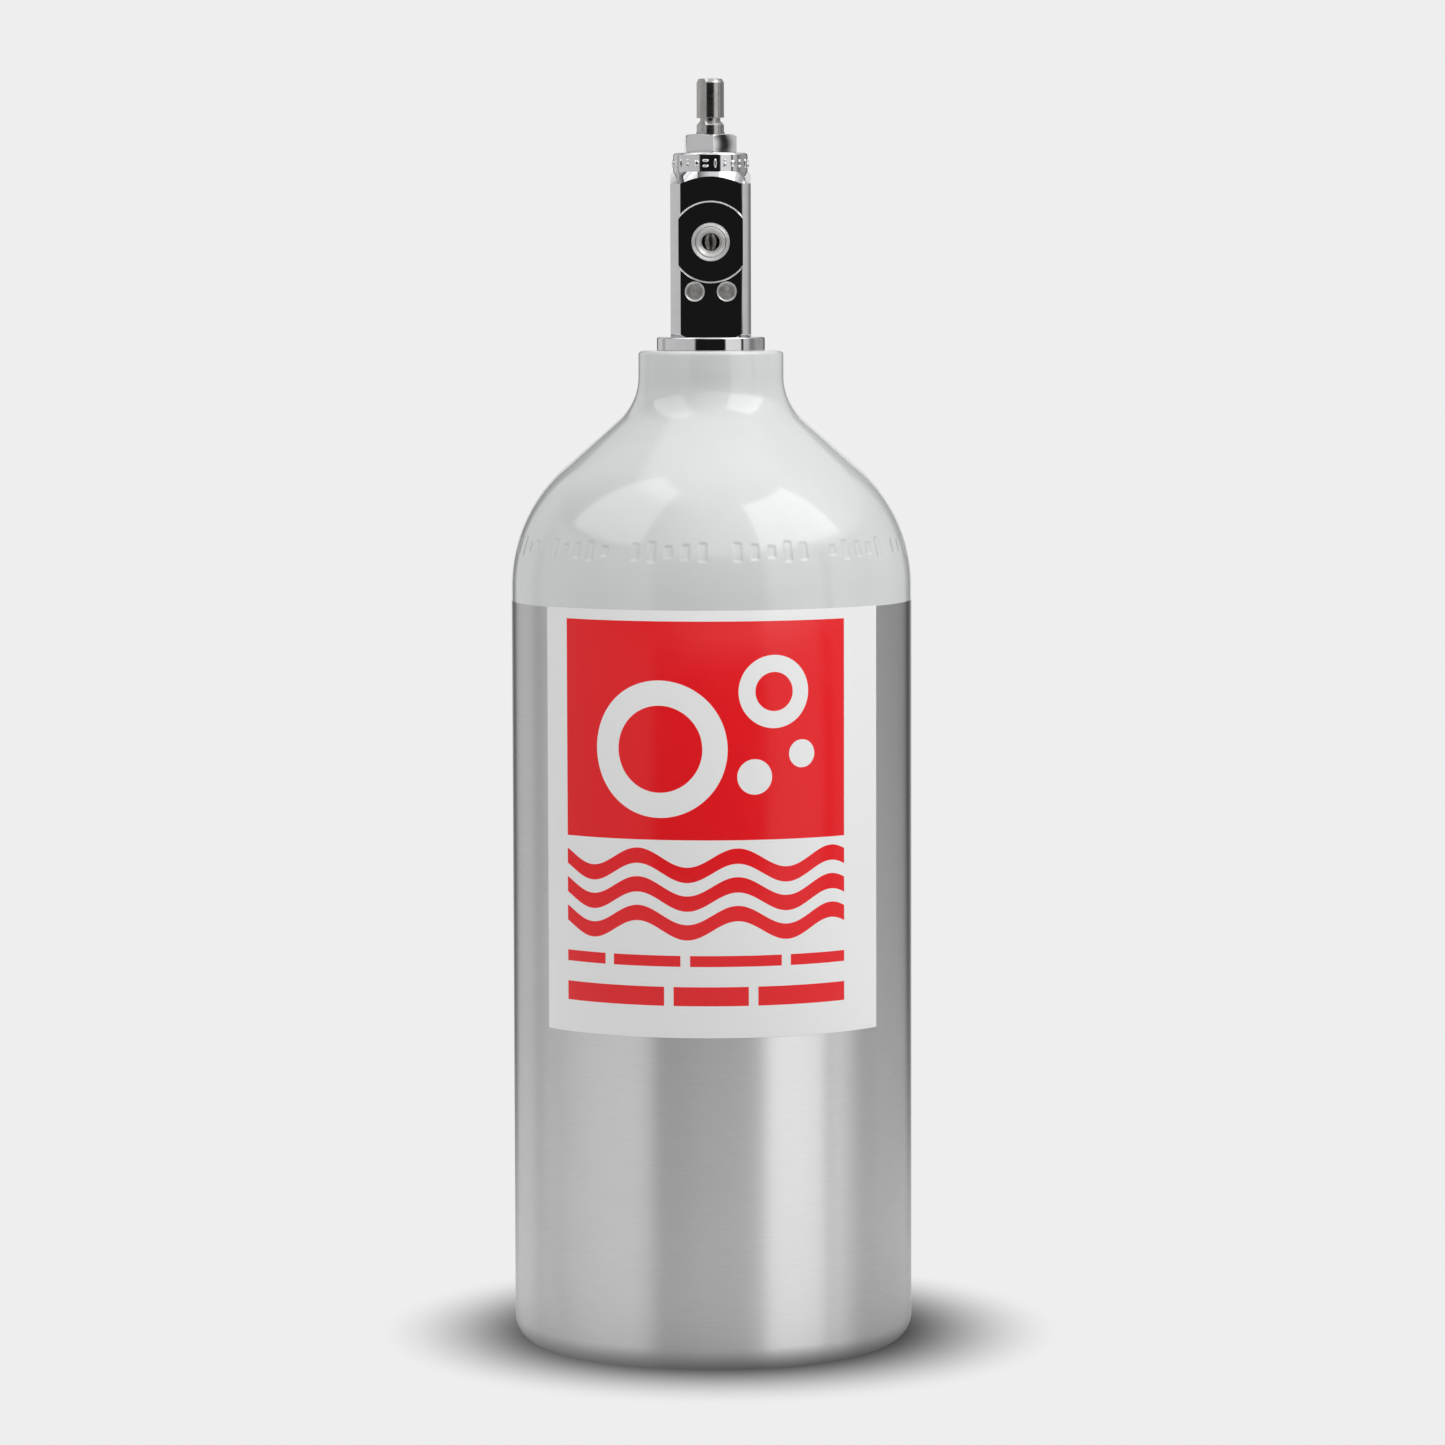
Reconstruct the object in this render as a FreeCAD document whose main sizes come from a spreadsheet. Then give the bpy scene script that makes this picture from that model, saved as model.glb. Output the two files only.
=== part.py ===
import FreeCAD, Part
import os

import Sketcher

# A small aluminium oxygen cylinder with a pin-index post valve (CGA 870).
# Millimetres, +Z up. The origin is the centre of the base, and the outlet port faces -Y.
# The valve's own heights are measured from the top of the cylinder's neck, where its flange seats.

DRIVING_SIZES = {
    # cylinder
    "barrel_radius": 55.65,
    "cylinder_height": 277.0,
    "base_corner": 7.0,
    "barrel_wall": 5.2,
    "base_thickness": 9.0,
    "inner_corner": 13.0,
    "shoulder_arc": 44.5,
    "shoulder_angle": 49.0,
    "neck_radius": 20.2,
    "neck_straight": 7.3,
    "neck_fillet": 15.6,
    "neck_thread_depth": 30.0,
    "rim_round": 1.2,
    # label
    "label_drop": 3.5,
    "label_height": 115.9,
    "label_width": 104.1,
    "label_thickness": 0.12,
    # clearances
    "thread_clearance": 0.08,
    "running_clearance": 0.05,
    "assembly_clearance": 0.15,
    "seal_clearance": 0.05,
    # valve body, outside
    "stub_radius": 9.45,
    "stub_length": 25.0,
    "stub_chamfer": 1.0,
    "flange_radius": 15.05,
    "flange_thickness": 3.7,
    "flange_chamfer": 0.5,
    "post_radius": 14.7,
    "post_height": 45.9,
    "foot_chamfer": 0.8,
    "side_flat": 11.1,
    "face_flat": 12.1,
    "collar_radius": 10.35,
    "collar_foot": 49.2,
    "collar_top": 54.5,
    "collar_bevel": 0.8,
    # valve body, inside
    "passage_radius": 2.0,
    "seat_rim_radius": 2.8,
    "seat_height": 25.5,
    "chamber_floor": 24.0,
    "chamber_radius": 4.9,
    "gland_step": 42.0,
    "gland_bore": 6.45,
    # outlet port and pin-index holes
    "port_height": 29.9,
    "port_radius": 2.5,
    "port_cone_radius": 3.84,
    "port_lip_radius": 4.1,
    "port_groove_radius": 4.35,
    "port_groove_depth": 1.1,
    "port_ring_radius": 5.26,
    "spot_face_radius": 10.9,
    "spot_face_depth": 0.4,
    "index_arc": 14.29,
    "index_angle": 18.0,
    "index_hole_radius": 2.4,
    "index_hole_depth": 5.6,
    "index_hole_mouth": 2.75,
    "drill_point_angle": 118.0,
    "yoke_dimple_radius": 4.0,
    "yoke_dimple_depth": 2.5,
    # neck seal
    "neck_gland_width": 2.6,
    "neck_gland_depth": 2.6,
    # gland nut and its seals
    "nut_across_flats": 13.8,
    "nut_height": 5.1,
    "nut_bevel": 0.8,
    "nut_turn": 35.2,
    "gland_groove_depth": 1.2,
    "gland_groove_width": 1.7,
    "gland_groove_rise": 1.0,
    # stem
    "stem_radius": 3.97,
    "stem_flat": 2.8,
    "stem_top": 74.9,
    "stem_chamfer_height": 1.1,
    "stem_chamfer_width": 0.8,
    "stem_turn": -62.0,
    "flats_foot_gap": 0.6,
    "wrench_groove_bottom": 62.1,
    "wrench_groove_top": 64.1,
    "stem_collar_radius": 5.8,
    "stem_collar_height": 1.8,
    "stem_washer_thickness": 0.5,
    "thrust_washer_thickness": 1.0,
    "seal_groove_depth": 1.2,
    "seal_groove_rise": 3.6,
    "seal_groove_width": 2.5,
    "backup_ring_width": 1.1,
    "tang_width": 7.0,
    "tang_thickness": 2.0,
    "tang_length": 7.0,
    # seat plug
    "plug_length": 13.4,
    "plug_nose_length": 6.4,
    "plug_nose_radius": 3.7,
    "plug_slot_depth": 6.5,
    "seat_gap": 0.03,
    "pad_radius": 3.1,
    "pad_thickness": 2.0,
    "pad_proud": 0.6,
    # inlet filter and debris tube
    "tube_radius": 2.95,
    "tube_bore": 2.0,
    "tube_length": 45.0,
    "tube_socket_depth": 12.0,
    "filter_thickness": 2.0,
    # pressure relief
    "relief_height": 12.0,
    "relief_radius": 4.1,
    "relief_seat": 4.5,
    "relief_passage_radius": 1.2,
    "relief_gasket_thickness": 0.8,
    "relief_disc_thickness": 0.3,
    "relief_plug_proud": 0.5,
    "relief_key_across_flats": 4.0,
    "relief_key_depth": 3.0,
    "relief_vent_radius": 1.0,
}

# Worked-out places, as formulas of the driving sizes.
SHOULDER_RUN = (
    "(dims.barrel_radius - dims.shoulder_arc * (1 - cos(dims.shoulder_angle * 1deg))"
    " - dims.neck_radius - dims.neck_fillet * (1 - cos(dims.shoulder_angle * 1deg)))"
)
NECK_FOOT = "(dims.cylinder_height - dims.neck_straight)"
FILLET_END_RADIUS = "(dims.neck_radius + dims.neck_fillet * (1 - cos(dims.shoulder_angle * 1deg)))"
FILLET_END_HEIGHT = f"({NECK_FOOT} - dims.neck_fillet * sin(dims.shoulder_angle * 1deg))"
CONE_FOOT_HEIGHT = f"({FILLET_END_HEIGHT} - {SHOULDER_RUN} / tan(dims.shoulder_angle * 1deg))"
BARREL_TOP = f"({CONE_FOOT_HEIGHT} - dims.shoulder_arc * sin(dims.shoulder_angle * 1deg))"
INNER_RADIUS = "(dims.barrel_radius - dims.barrel_wall)"
DOME_TOP = "(dims.cylinder_height - dims.neck_thread_depth)"
NECK_BORE = "(dims.stub_radius + dims.thread_clearance)"
NECK_GLAND = "(dims.stub_radius + dims.neck_gland_width)"
LABEL_TOP = f"({BARREL_TOP} - dims.label_drop)"
LABEL_BOTTOM = f"({LABEL_TOP} - dims.label_height)"
LABEL_ANGLE = "(dims.label_width / dims.barrel_radius * 180deg / pi)"

NUT_CORNER = "(dims.nut_across_flats / 2 / cos(30deg))"
NUT_TOP = "(dims.collar_top + dims.nut_height)"
NUT_BORE = "(dims.stem_radius + dims.running_clearance)"
NUT_SHANK = "(dims.gland_bore - dims.thread_clearance)"
STEM_WASHER_TOP = "(dims.gland_step + dims.stem_washer_thickness)"
STEM_COLLAR_FOOT = f"({STEM_WASHER_TOP} + dims.running_clearance)"
STEM_COLLAR_TOP = f"({STEM_COLLAR_FOOT} + dims.stem_collar_height)"
THRUST_WASHER_FOOT = f"({STEM_COLLAR_TOP} + dims.running_clearance)"
NUT_FOOT = f"({THRUST_WASHER_FOOT} + dims.thrust_washer_thickness)"
GLAND_GROOVE_FOOT = f"({NUT_FOOT} + dims.gland_groove_rise)"
GLAND_GROOVE_ROOT = f"({NUT_SHANK} - dims.gland_groove_depth)"
SEAL_GROOVE_FOOT = f"({STEM_COLLAR_TOP} + dims.seal_groove_rise)"
SEAL_GROOVE_ROOT = "(dims.stem_radius - dims.seal_groove_depth)"
WRENCH_NECK_FOOT = "(dims.wrench_groove_bottom + dims.stem_radius - dims.stem_flat)"

PLUG_RADIUS = "(dims.chamber_radius - dims.running_clearance)"
PAD_FOOT = "(dims.seat_height + dims.seat_gap)"
PLUG_FOOT = f"({PAD_FOOT} + dims.pad_proud)"
PLUG_TOP = f"({PLUG_FOOT} + dims.plug_length)"
PAD_SEAT = f"({PAD_FOOT} + dims.pad_thickness)"
INDEX_HALF_SPACING = "(dims.index_arc * sin(dims.index_angle * 1deg))"
INDEX_HEIGHT = "(dims.port_height - dims.index_arc * cos(dims.index_angle * 1deg))"
RELIEF_DISC_FOOT = "(dims.relief_seat + dims.relief_gasket_thickness)"
RELIEF_PLUG_FOOT = f"({RELIEF_DISC_FOOT} + dims.relief_disc_thickness)"
RELIEF_FITTED_RADIUS = "(dims.relief_radius - dims.thread_clearance)"
TUBE_SOCKET_TOP = "(dims.tube_socket_depth - dims.stub_length)"
FILTER_FOOT = f"({TUBE_SOCKET_TOP} - dims.filter_thickness)"

doc = FreeCAD.newDocument("oxygen_cylinder")
dims = doc.addObject("Spreadsheet::Sheet", "dims")
for row, (alias, number) in enumerate(DRIVING_SIZES.items(), start=1):
    dims.set(f"A{row}", alias)
    dims.set(f"B{row}", str(number))
    dims.setAlias(f"B{row}", alias)
doc.recompute()

sub_parts = []


def size(formula):
    """The value of a formula of the driving sizes."""
    return float(dims.evalExpression(formula))


def start_body(label, on_valve=True, turn=None):
    """A new sub-part. On the valve, its frame stands on top of the neck."""
    body = doc.addObject("PartDesign::Body", label)
    body.Label = label
    if turn:
        body.Placement = FreeCAD.Placement(FreeCAD.Vector(), FreeCAD.Vector(0, 0, 1), size(turn))
        body.setExpression("Placement.Rotation.Angle", f"{turn} * 1deg")
    if on_valve:
        body.setExpression("Placement.Base.z", "dims.cylinder_height")
    sub_parts.append(body)
    return body


def start_sketch(body, role, name, along="0", aside="0", lift="0"):
    """A sketch on one of the body's own origin planes, moved in the plane and off it."""
    sketch = body.newObject("Sketcher::SketchObject", name)
    plane = next(item for item in body.Origin.OriginFeatures if item.Role == role)
    sketch.AttachmentSupport = [(plane, "")]
    sketch.MapMode = "FlatFace"
    for axis, formula in (("x", along), ("y", aside), ("z", lift)):
        if formula != "0":
            sketch.setExpression(f"AttachmentOffset.Base.{axis}", formula)
    doc.recompute()
    return sketch


def drive(sketch, kind, place, formula):
    """Add one dimension to a sketch and bind it to its formula."""
    index = sketch.addConstraint(Sketcher.Constraint(kind, *place, size(formula)))
    sketch.setExpression(f"Constraints[{index}]", formula)


def arc_between(start, end, centre):
    """The short arc about a centre from one point to another."""
    radius = (start - centre).Length
    middle = (start - centre) + (end - centre)
    middle.normalize()
    return Part.Arc(start, centre + middle * radius, end)


def draw_outline(sketch, corners):
    """Draw a closed outline. A corner is two formulas, or four where an arc about the
    centre in the last two leads to it."""
    points = [FreeCAD.Vector(size(corner[0]), size(corner[1]), 0) for corner in corners]
    ends = []
    for index, corner in enumerate(corners):
        start, end = points[index - 1], points[index]
        if len(corner) == 2:
            edge = sketch.addGeometry(Part.LineSegment(start, end))
        else:
            centre = FreeCAD.Vector(size(corner[2]), size(corner[3]), 0)
            edge = sketch.addGeometry(arc_between(start, end, centre))
        forward = (sketch.getPoint(edge, 1) - start).Length < (sketch.getPoint(edge, 2) - start).Length
        ends.append((edge, 1, 2) if forward else (edge, 2, 1))
    for index, corner in enumerate(corners):
        edge, _, tail = ends[index]
        following, head, _ = ends[(index + 1) % len(corners)]
        sketch.addConstraint(Sketcher.Constraint("Coincident", edge, tail, following, head))
        drive(sketch, "DistanceX", (-1, 1, edge, tail), corner[0])
        drive(sketch, "DistanceY", (-1, 1, edge, tail), corner[1])
    for index, corner in enumerate(corners):
        if len(corner) == 4:
            chord = points[index] - points[index - 1]
            upright = abs(chord.y) > abs(chord.x)
            kind, formula = ("DistanceX", corner[2]) if upright else ("DistanceY", corner[3])
            drive(sketch, kind, (-1, 1, ends[index][0], 3), formula)


def draw_circle(sketch, radius, across="0", up="0"):
    """Draw a circle at two formulas, with the radius of a third."""
    centre = FreeCAD.Vector(size(across), size(up), 0)
    circle = sketch.addGeometry(Part.Circle(centre, FreeCAD.Vector(0, 0, 1), size(radius)))
    drive(sketch, "DistanceX", (-1, 1, circle, 3), across)
    drive(sketch, "DistanceY", (-1, 1, circle, 3), up)
    drive(sketch, "Radius", (circle,), radius)


def draw_hexagon(sketch, across_flats):
    """Draw a hexagon about the sketch's origin, with one pair of flats facing up and down."""
    corner = f"({across_flats} / 2 / cos(30deg))"
    draw_outline(sketch, [(f"{corner} * cos({60 * step}deg)", f"{corner} * sin({60 * step}deg)")
                          for step in range(6)])


def volume_after(body, feature, grows):
    """Recompute, and make sure that a feature really adds or removes material."""
    before = feature.BaseFeature.Shape.Volume if feature.BaseFeature else 0.0
    body.Tip = feature
    doc.recompute()
    after = feature.Shape.Volume
    if (after <= before) if grows else (after >= before):
        raise RuntimeError(f"{body.Label}: {feature.Name} changed nothing")


def turn_solid(body, name, sketch, axis="V_Axis"):
    """Revolve a sketch into a solid."""
    feature = body.newObject("PartDesign::Revolution", name)
    feature.Profile = sketch
    feature.ReferenceAxis = (sketch, [axis])
    feature.Angle = 360.0
    volume_after(body, feature, grows=True)
    return feature


def turn_cut(body, name, sketch, axis="V_Axis"):
    """Revolve a sketch and cut it from the body."""
    feature = body.newObject("PartDesign::Groove", name)
    feature.Profile = sketch
    feature.ReferenceAxis = (sketch, [axis])
    feature.Angle = 360.0
    volume_after(body, feature, grows=False)
    return feature


def cut_pocket(body, name, sketch, length=None, reverse=False):
    """Cut a sketch into the body, to a length or right through."""
    feature = body.newObject("PartDesign::Pocket", name)
    feature.Profile = sketch
    feature.Reversed = reverse
    if length:
        feature.Type = "Length"
        feature.setExpression("Length", length)
    else:
        feature.Type = "ThroughAll"
    volume_after(body, feature, grows=False)
    return feature


def make_ring(label, inner, outer, foot, top, on_valve=True):
    """A flat ring or washer about the Z axis."""
    body = start_body(label, on_valve)
    sketch = start_sketch(body, "XZ_Plane", f"{label}_section")
    draw_outline(sketch, [(inner, foot), (outer, foot), (outer, top), (inner, top)])
    turn_solid(body, f"{label}_ring", sketch)
    return body


def make_seal(label, inner, outer, height):
    """An O-ring about the valve's axis, a little slimmer than the space between two walls."""
    seal = doc.addObject("Part::Torus", label)
    seal.Label = label
    seal.setExpression("Radius1", f"({inner} + {outer}) / 2")
    seal.setExpression("Radius2", f"({outer} - {inner}) / 2 - dims.seal_clearance")
    seal.setExpression("Placement.Base.z", f"dims.cylinder_height + {height}")
    sub_parts.append(seal)


def make_cylinder_shell():
    """The seamless aluminium bottle: flat base, straight barrel, domed shoulder, threaded neck."""
    body = start_body("cylinder_shell", on_valve=False)
    outside = start_sketch(body, "XZ_Plane", "shell_outside")
    rim_edge = "dims.neck_radius - dims.rim_round"
    rim_foot = "dims.cylinder_height - dims.rim_round"
    corner_centre = "dims.barrel_radius - dims.base_corner"
    draw_outline(outside, [
        ("0", "0"),
        (corner_centre, "0"),
        ("dims.barrel_radius", "dims.base_corner", corner_centre, "dims.base_corner"),
        ("dims.barrel_radius", BARREL_TOP),
        (f"{FILLET_END_RADIUS} + {SHOULDER_RUN}", CONE_FOOT_HEIGHT,
         "dims.barrel_radius - dims.shoulder_arc", BARREL_TOP),
        (FILLET_END_RADIUS, FILLET_END_HEIGHT),
        ("dims.neck_radius", NECK_FOOT, "dims.neck_radius + dims.neck_fillet", NECK_FOOT),
        ("dims.neck_radius", rim_foot),
        (rim_edge, "dims.cylinder_height", rim_edge, rim_foot),
        ("0", "dims.cylinder_height"),
    ])
    turn_solid(body, "shell_blank", outside)

    inside = start_sketch(body, "XZ_Plane", "shell_inside")
    inner_corner_centre = f"{INNER_RADIUS} - dims.inner_corner"
    inner_corner_top = "dims.base_thickness + dims.inner_corner"
    dome_centre = f"{INNER_RADIUS} - ({DOME_TOP} - {BARREL_TOP})"
    draw_outline(inside, [
        ("0", "dims.base_thickness"),
        (inner_corner_centre, "dims.base_thickness"),
        (INNER_RADIUS, inner_corner_top, inner_corner_centre, inner_corner_top),
        (INNER_RADIUS, BARREL_TOP),
        (dome_centre, DOME_TOP, dome_centre, BARREL_TOP),
        (NECK_BORE, DOME_TOP),
        (NECK_BORE, "dims.cylinder_height - dims.neck_gland_depth"),
        (NECK_GLAND, "dims.cylinder_height - dims.neck_gland_depth"),
        (NECK_GLAND, "dims.cylinder_height"),
        ("0", "dims.cylinder_height"),
    ])
    turn_cut(body, "shell_hollow", inside)


def make_label():
    """The printed label, wrapped about the front of the barrel."""
    body = start_body("label", on_valve=False)
    section = start_sketch(body, "YZ_Plane", "label_section")
    skin = "-dims.barrel_radius - dims.label_thickness"
    draw_outline(section, [
        ("-dims.barrel_radius", LABEL_BOTTOM),
        ("-dims.barrel_radius", LABEL_TOP),
        (skin, LABEL_TOP),
        (skin, LABEL_BOTTOM),
    ])
    wrap = body.newObject("PartDesign::Revolution", "label_wrap")
    wrap.Profile = section
    wrap.ReferenceAxis = (section, ["V_Axis"])
    wrap.Midplane = True
    wrap.setExpression("Angle", LABEL_ANGLE)
    volume_after(body, wrap, grows=True)


def make_valve_body():
    """The post: a round bar with flats, a threaded stub below, and the gas passages."""
    body = start_body("valve_body")
    outside = start_sketch(body, "XZ_Plane", "post_outside")
    draw_outline(outside, [
        ("0", "-dims.stub_length"),
        ("dims.stub_radius - dims.stub_chamfer", "-dims.stub_length"),
        ("dims.stub_radius", "dims.stub_chamfer - dims.stub_length"),
        ("dims.stub_radius", "0"),
        ("dims.flange_radius", "0"),
        ("dims.flange_radius", "dims.flange_thickness - dims.flange_chamfer"),
        ("dims.flange_radius - dims.flange_chamfer", "dims.flange_thickness"),
        ("dims.post_radius - dims.foot_chamfer", "dims.flange_thickness"),
        ("dims.post_radius", "dims.flange_thickness + dims.foot_chamfer"),
        ("dims.post_radius", "dims.post_height"),
        ("dims.collar_radius", "dims.collar_foot"),
        ("dims.collar_radius", "dims.collar_top - dims.collar_bevel"),
        ("dims.collar_radius - dims.collar_bevel", "dims.collar_top"),
        ("0", "dims.collar_top"),
    ])
    turn_solid(body, "post_blank", outside)

    flats = start_sketch(body, "XY_Plane", "post_flats", lift="dims.flange_thickness")
    draw_circle(flats, "dims.post_radius * 1.5")
    draw_outline(flats, [
        ("-dims.side_flat", "-dims.face_flat"),
        ("dims.side_flat", "-dims.face_flat"),
        ("dims.side_flat", "dims.face_flat"),
        ("-dims.side_flat", "dims.face_flat"),
    ])
    cut_pocket(body, "post_flatten", flats, reverse=True)

    bores = start_sketch(body, "XZ_Plane", "post_bores")
    draw_outline(bores, [
        ("0", "-dims.stub_length"),
        ("dims.tube_radius", "-dims.stub_length"),
        ("dims.tube_radius", TUBE_SOCKET_TOP),
        ("dims.passage_radius", TUBE_SOCKET_TOP),
        ("dims.passage_radius", "dims.seat_height"),
        ("dims.seat_rim_radius", "dims.seat_height"),
        ("dims.seat_rim_radius", "dims.chamber_floor"),
        ("dims.chamber_radius", "dims.chamber_floor"),
        ("dims.chamber_radius", "dims.gland_step"),
        ("dims.gland_bore", "dims.gland_step"),
        ("dims.gland_bore", "dims.collar_top"),
        ("0", "dims.collar_top"),
    ])
    turn_cut(body, "post_bore", bores)

    # The port's sketch stands on the port's own axis, so distances along it are from the stem axis.
    port = start_sketch(body, "YZ_Plane", "port_section", aside="dims.port_height")
    face = "-dims.face_flat"
    spot = "dims.spot_face_depth - dims.face_flat"
    groove = "dims.port_groove_depth - dims.face_flat"
    cone_foot = "dims.port_cone_radius - dims.port_radius - dims.face_flat"
    outer_edge = "dims.spot_face_radius + dims.spot_face_depth"
    draw_outline(port, [
        (face, "0"),
        (face, "dims.port_cone_radius"),
        (cone_foot, "dims.port_radius"),
        ("0", "dims.port_radius"),
        ("0", "0"),
    ])
    draw_outline(port, [
        (face, "dims.port_lip_radius"),
        (face, "dims.port_groove_radius"),
        (groove, "dims.port_groove_radius"),
        (groove, "dims.port_lip_radius"),
    ])
    draw_outline(port, [
        (face, "dims.port_ring_radius"),
        (face, outer_edge),
        (spot, "dims.spot_face_radius"),
        (spot, "dims.port_ring_radius"),
    ])
    turn_cut(body, "outlet_port", port, axis="H_Axis")

    dimple = start_sketch(body, "YZ_Plane", "dimple_section", aside="dims.port_height")
    draw_outline(dimple, [
        ("dims.face_flat", "0"),
        ("dims.face_flat", "dims.yoke_dimple_radius"),
        ("dims.face_flat - dims.yoke_dimple_depth", "0"),
    ])
    turn_cut(body, "yoke_dimple", dimple, axis="H_Axis")

    hole = start_sketch(body, "YZ_Plane", "index_hole_section", aside=INDEX_HEIGHT, lift=INDEX_HALF_SPACING)
    hole_floor = "dims.index_hole_depth - dims.face_flat"
    draw_outline(hole, [
        (face, "0"),
        (face, "dims.index_hole_mouth"),
        ("dims.index_hole_mouth - dims.index_hole_radius - dims.face_flat", "dims.index_hole_radius"),
        (hole_floor, "dims.index_hole_radius"),
        (f"{hole_floor} + dims.index_hole_radius / tan(dims.drill_point_angle / 2 * 1deg)", "0"),
    ])
    first_hole = turn_cut(body, "index_hole", hole, axis="H_Axis")
    both_holes = body.newObject("PartDesign::Mirrored", "index_holes")
    both_holes.Originals = [first_hole]
    mirror = next(item for item in body.Origin.OriginFeatures if item.Role == "YZ_Plane")
    both_holes.MirrorPlane = (mirror, [""])
    body.Tip = both_holes
    doc.recompute()
    if both_holes.Shape.Volume >= first_hole.Shape.Volume:
        raise RuntimeError("valve_body: the second pin-index hole is missing")

    relief = start_sketch(body, "YZ_Plane", "relief_section", aside="dims.relief_height")
    draw_outline(relief, [
        ("0", "0"),
        ("0", "dims.relief_passage_radius"),
        ("dims.relief_seat", "dims.relief_passage_radius"),
        ("dims.relief_seat", "dims.relief_radius"),
        ("dims.face_flat", "dims.relief_radius"),
        ("dims.face_flat", "0"),
    ])
    turn_cut(body, "relief_bore", relief, axis="H_Axis")


def make_gland_nut():
    """The hexagonal nut that closes the valve and guides the stem."""
    body = start_body("gland_nut", turn="dims.nut_turn")
    section = start_sketch(body, "XZ_Plane", "nut_section")
    groove_top = f"{GLAND_GROOVE_FOOT} + dims.gland_groove_width"
    draw_outline(section, [
        (NUT_BORE, NUT_FOOT),
        (NUT_SHANK, NUT_FOOT),
        (NUT_SHANK, GLAND_GROOVE_FOOT),
        (GLAND_GROOVE_ROOT, GLAND_GROOVE_FOOT),
        (GLAND_GROOVE_ROOT, groove_top),
        (NUT_SHANK, groove_top),
        (NUT_SHANK, "dims.collar_top"),
        (NUT_CORNER, "dims.collar_top"),
        (NUT_CORNER, f"{NUT_TOP} - dims.nut_bevel"),
        (f"{NUT_CORNER} - dims.nut_bevel / tan(30deg)", NUT_TOP),
        (NUT_BORE, NUT_TOP),
    ])
    turn_solid(body, "nut_blank", section)
    hexagon = start_sketch(body, "XY_Plane", "nut_hexagon", lift="dims.collar_top")
    draw_circle(hexagon, f"{NUT_CORNER} * 1.5")
    draw_hexagon(hexagon, "dims.nut_across_flats")
    cut_pocket(body, "nut_flats", hexagon, reverse=True)


def make_valve_stem():
    """The stem: a tang that drives the seat plug, a collar, a seal groove and a flatted top."""
    body = start_body("valve_stem", turn="dims.stem_turn")
    section = start_sketch(body, "XZ_Plane", "stem_section")
    groove_top = f"{SEAL_GROOVE_FOOT} + dims.seal_groove_width"
    draw_outline(section, [
        ("0", STEM_COLLAR_FOOT),
        ("dims.stem_collar_radius", STEM_COLLAR_FOOT),
        ("dims.stem_collar_radius", STEM_COLLAR_TOP),
        ("dims.stem_radius", STEM_COLLAR_TOP),
        ("dims.stem_radius", SEAL_GROOVE_FOOT),
        (SEAL_GROOVE_ROOT, SEAL_GROOVE_FOOT),
        (SEAL_GROOVE_ROOT, groove_top),
        ("dims.stem_radius", groove_top),
        ("dims.stem_radius", "dims.wrench_groove_bottom"),
        ("dims.stem_flat", WRENCH_NECK_FOOT),
        ("dims.stem_flat", "dims.wrench_groove_top"),
        ("dims.stem_radius", "dims.wrench_groove_top"),
        ("dims.stem_radius", "dims.stem_top - dims.stem_chamfer_height"),
        ("dims.stem_radius - dims.stem_chamfer_width", "dims.stem_top"),
        ("0", "dims.stem_top"),
    ])
    turn_solid(body, "stem_blank", section)

    flats = start_sketch(body, "XY_Plane", "stem_flats", lift=f"{NUT_TOP} + dims.flats_foot_gap")
    draw_circle(flats, "dims.stem_radius * 2")
    reach = "dims.stem_radius * 1.2"
    draw_outline(flats, [
        (f"-{reach}", "-dims.stem_flat"),
        (reach, "-dims.stem_flat"),
        (reach, "dims.stem_flat"),
        (f"-{reach}", "dims.stem_flat"),
    ])
    cut_pocket(body, "stem_flatten", flats, reverse=True)

    tang = start_sketch(body, "XY_Plane", "tang_section", lift=STEM_COLLAR_FOOT)
    draw_outline(tang, [
        ("-dims.tang_width / 2", "-dims.tang_thickness / 2"),
        ("dims.tang_width / 2", "-dims.tang_thickness / 2"),
        ("dims.tang_width / 2", "dims.tang_thickness / 2"),
        ("-dims.tang_width / 2", "dims.tang_thickness / 2"),
    ])
    pad = body.newObject("PartDesign::Pad", "stem_tang")
    pad.Profile = tang
    pad.Reversed = True
    pad.setExpression("Length", "dims.tang_length")
    volume_after(body, pad, grows=True)


def make_seat_plug():
    """The threaded plug that carries the seat pad and rides on the stem's tang."""
    body = start_body("seat_plug", turn="dims.stem_turn")
    section = start_sketch(body, "XZ_Plane", "plug_section")
    nose_top = f"{PLUG_FOOT} + dims.plug_nose_length"
    draw_outline(section, [
        ("0", PAD_SEAT),
        ("dims.pad_radius", PAD_SEAT),
        ("dims.pad_radius", PLUG_FOOT),
        ("dims.plug_nose_radius", PLUG_FOOT),
        ("dims.plug_nose_radius", nose_top),
        (PLUG_RADIUS, nose_top),
        (PLUG_RADIUS, PLUG_TOP),
        ("0", PLUG_TOP),
    ])
    turn_solid(body, "plug_blank", section)
    slot = start_sketch(body, "XY_Plane", "plug_slot_outline", lift=PLUG_TOP)
    half_gap = "(dims.tang_thickness / 2 + dims.assembly_clearance)"
    draw_outline(slot, [
        ("-dims.chamber_radius", f"-{half_gap}"),
        ("dims.chamber_radius", f"-{half_gap}"),
        ("dims.chamber_radius", half_gap),
        ("-dims.chamber_radius", half_gap),
    ])
    cut_pocket(body, "plug_slot", slot, length="dims.plug_slot_depth")


def make_relief_part(label, corners):
    """A round piece of the pressure relief, about its axis at the back of the post."""
    body = start_body(label)
    section = start_sketch(body, "YZ_Plane", f"{label}_section", aside="dims.relief_height")
    draw_outline(section, corners)
    turn_solid(body, f"{label}_blank", section, axis="H_Axis")
    return body


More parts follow.
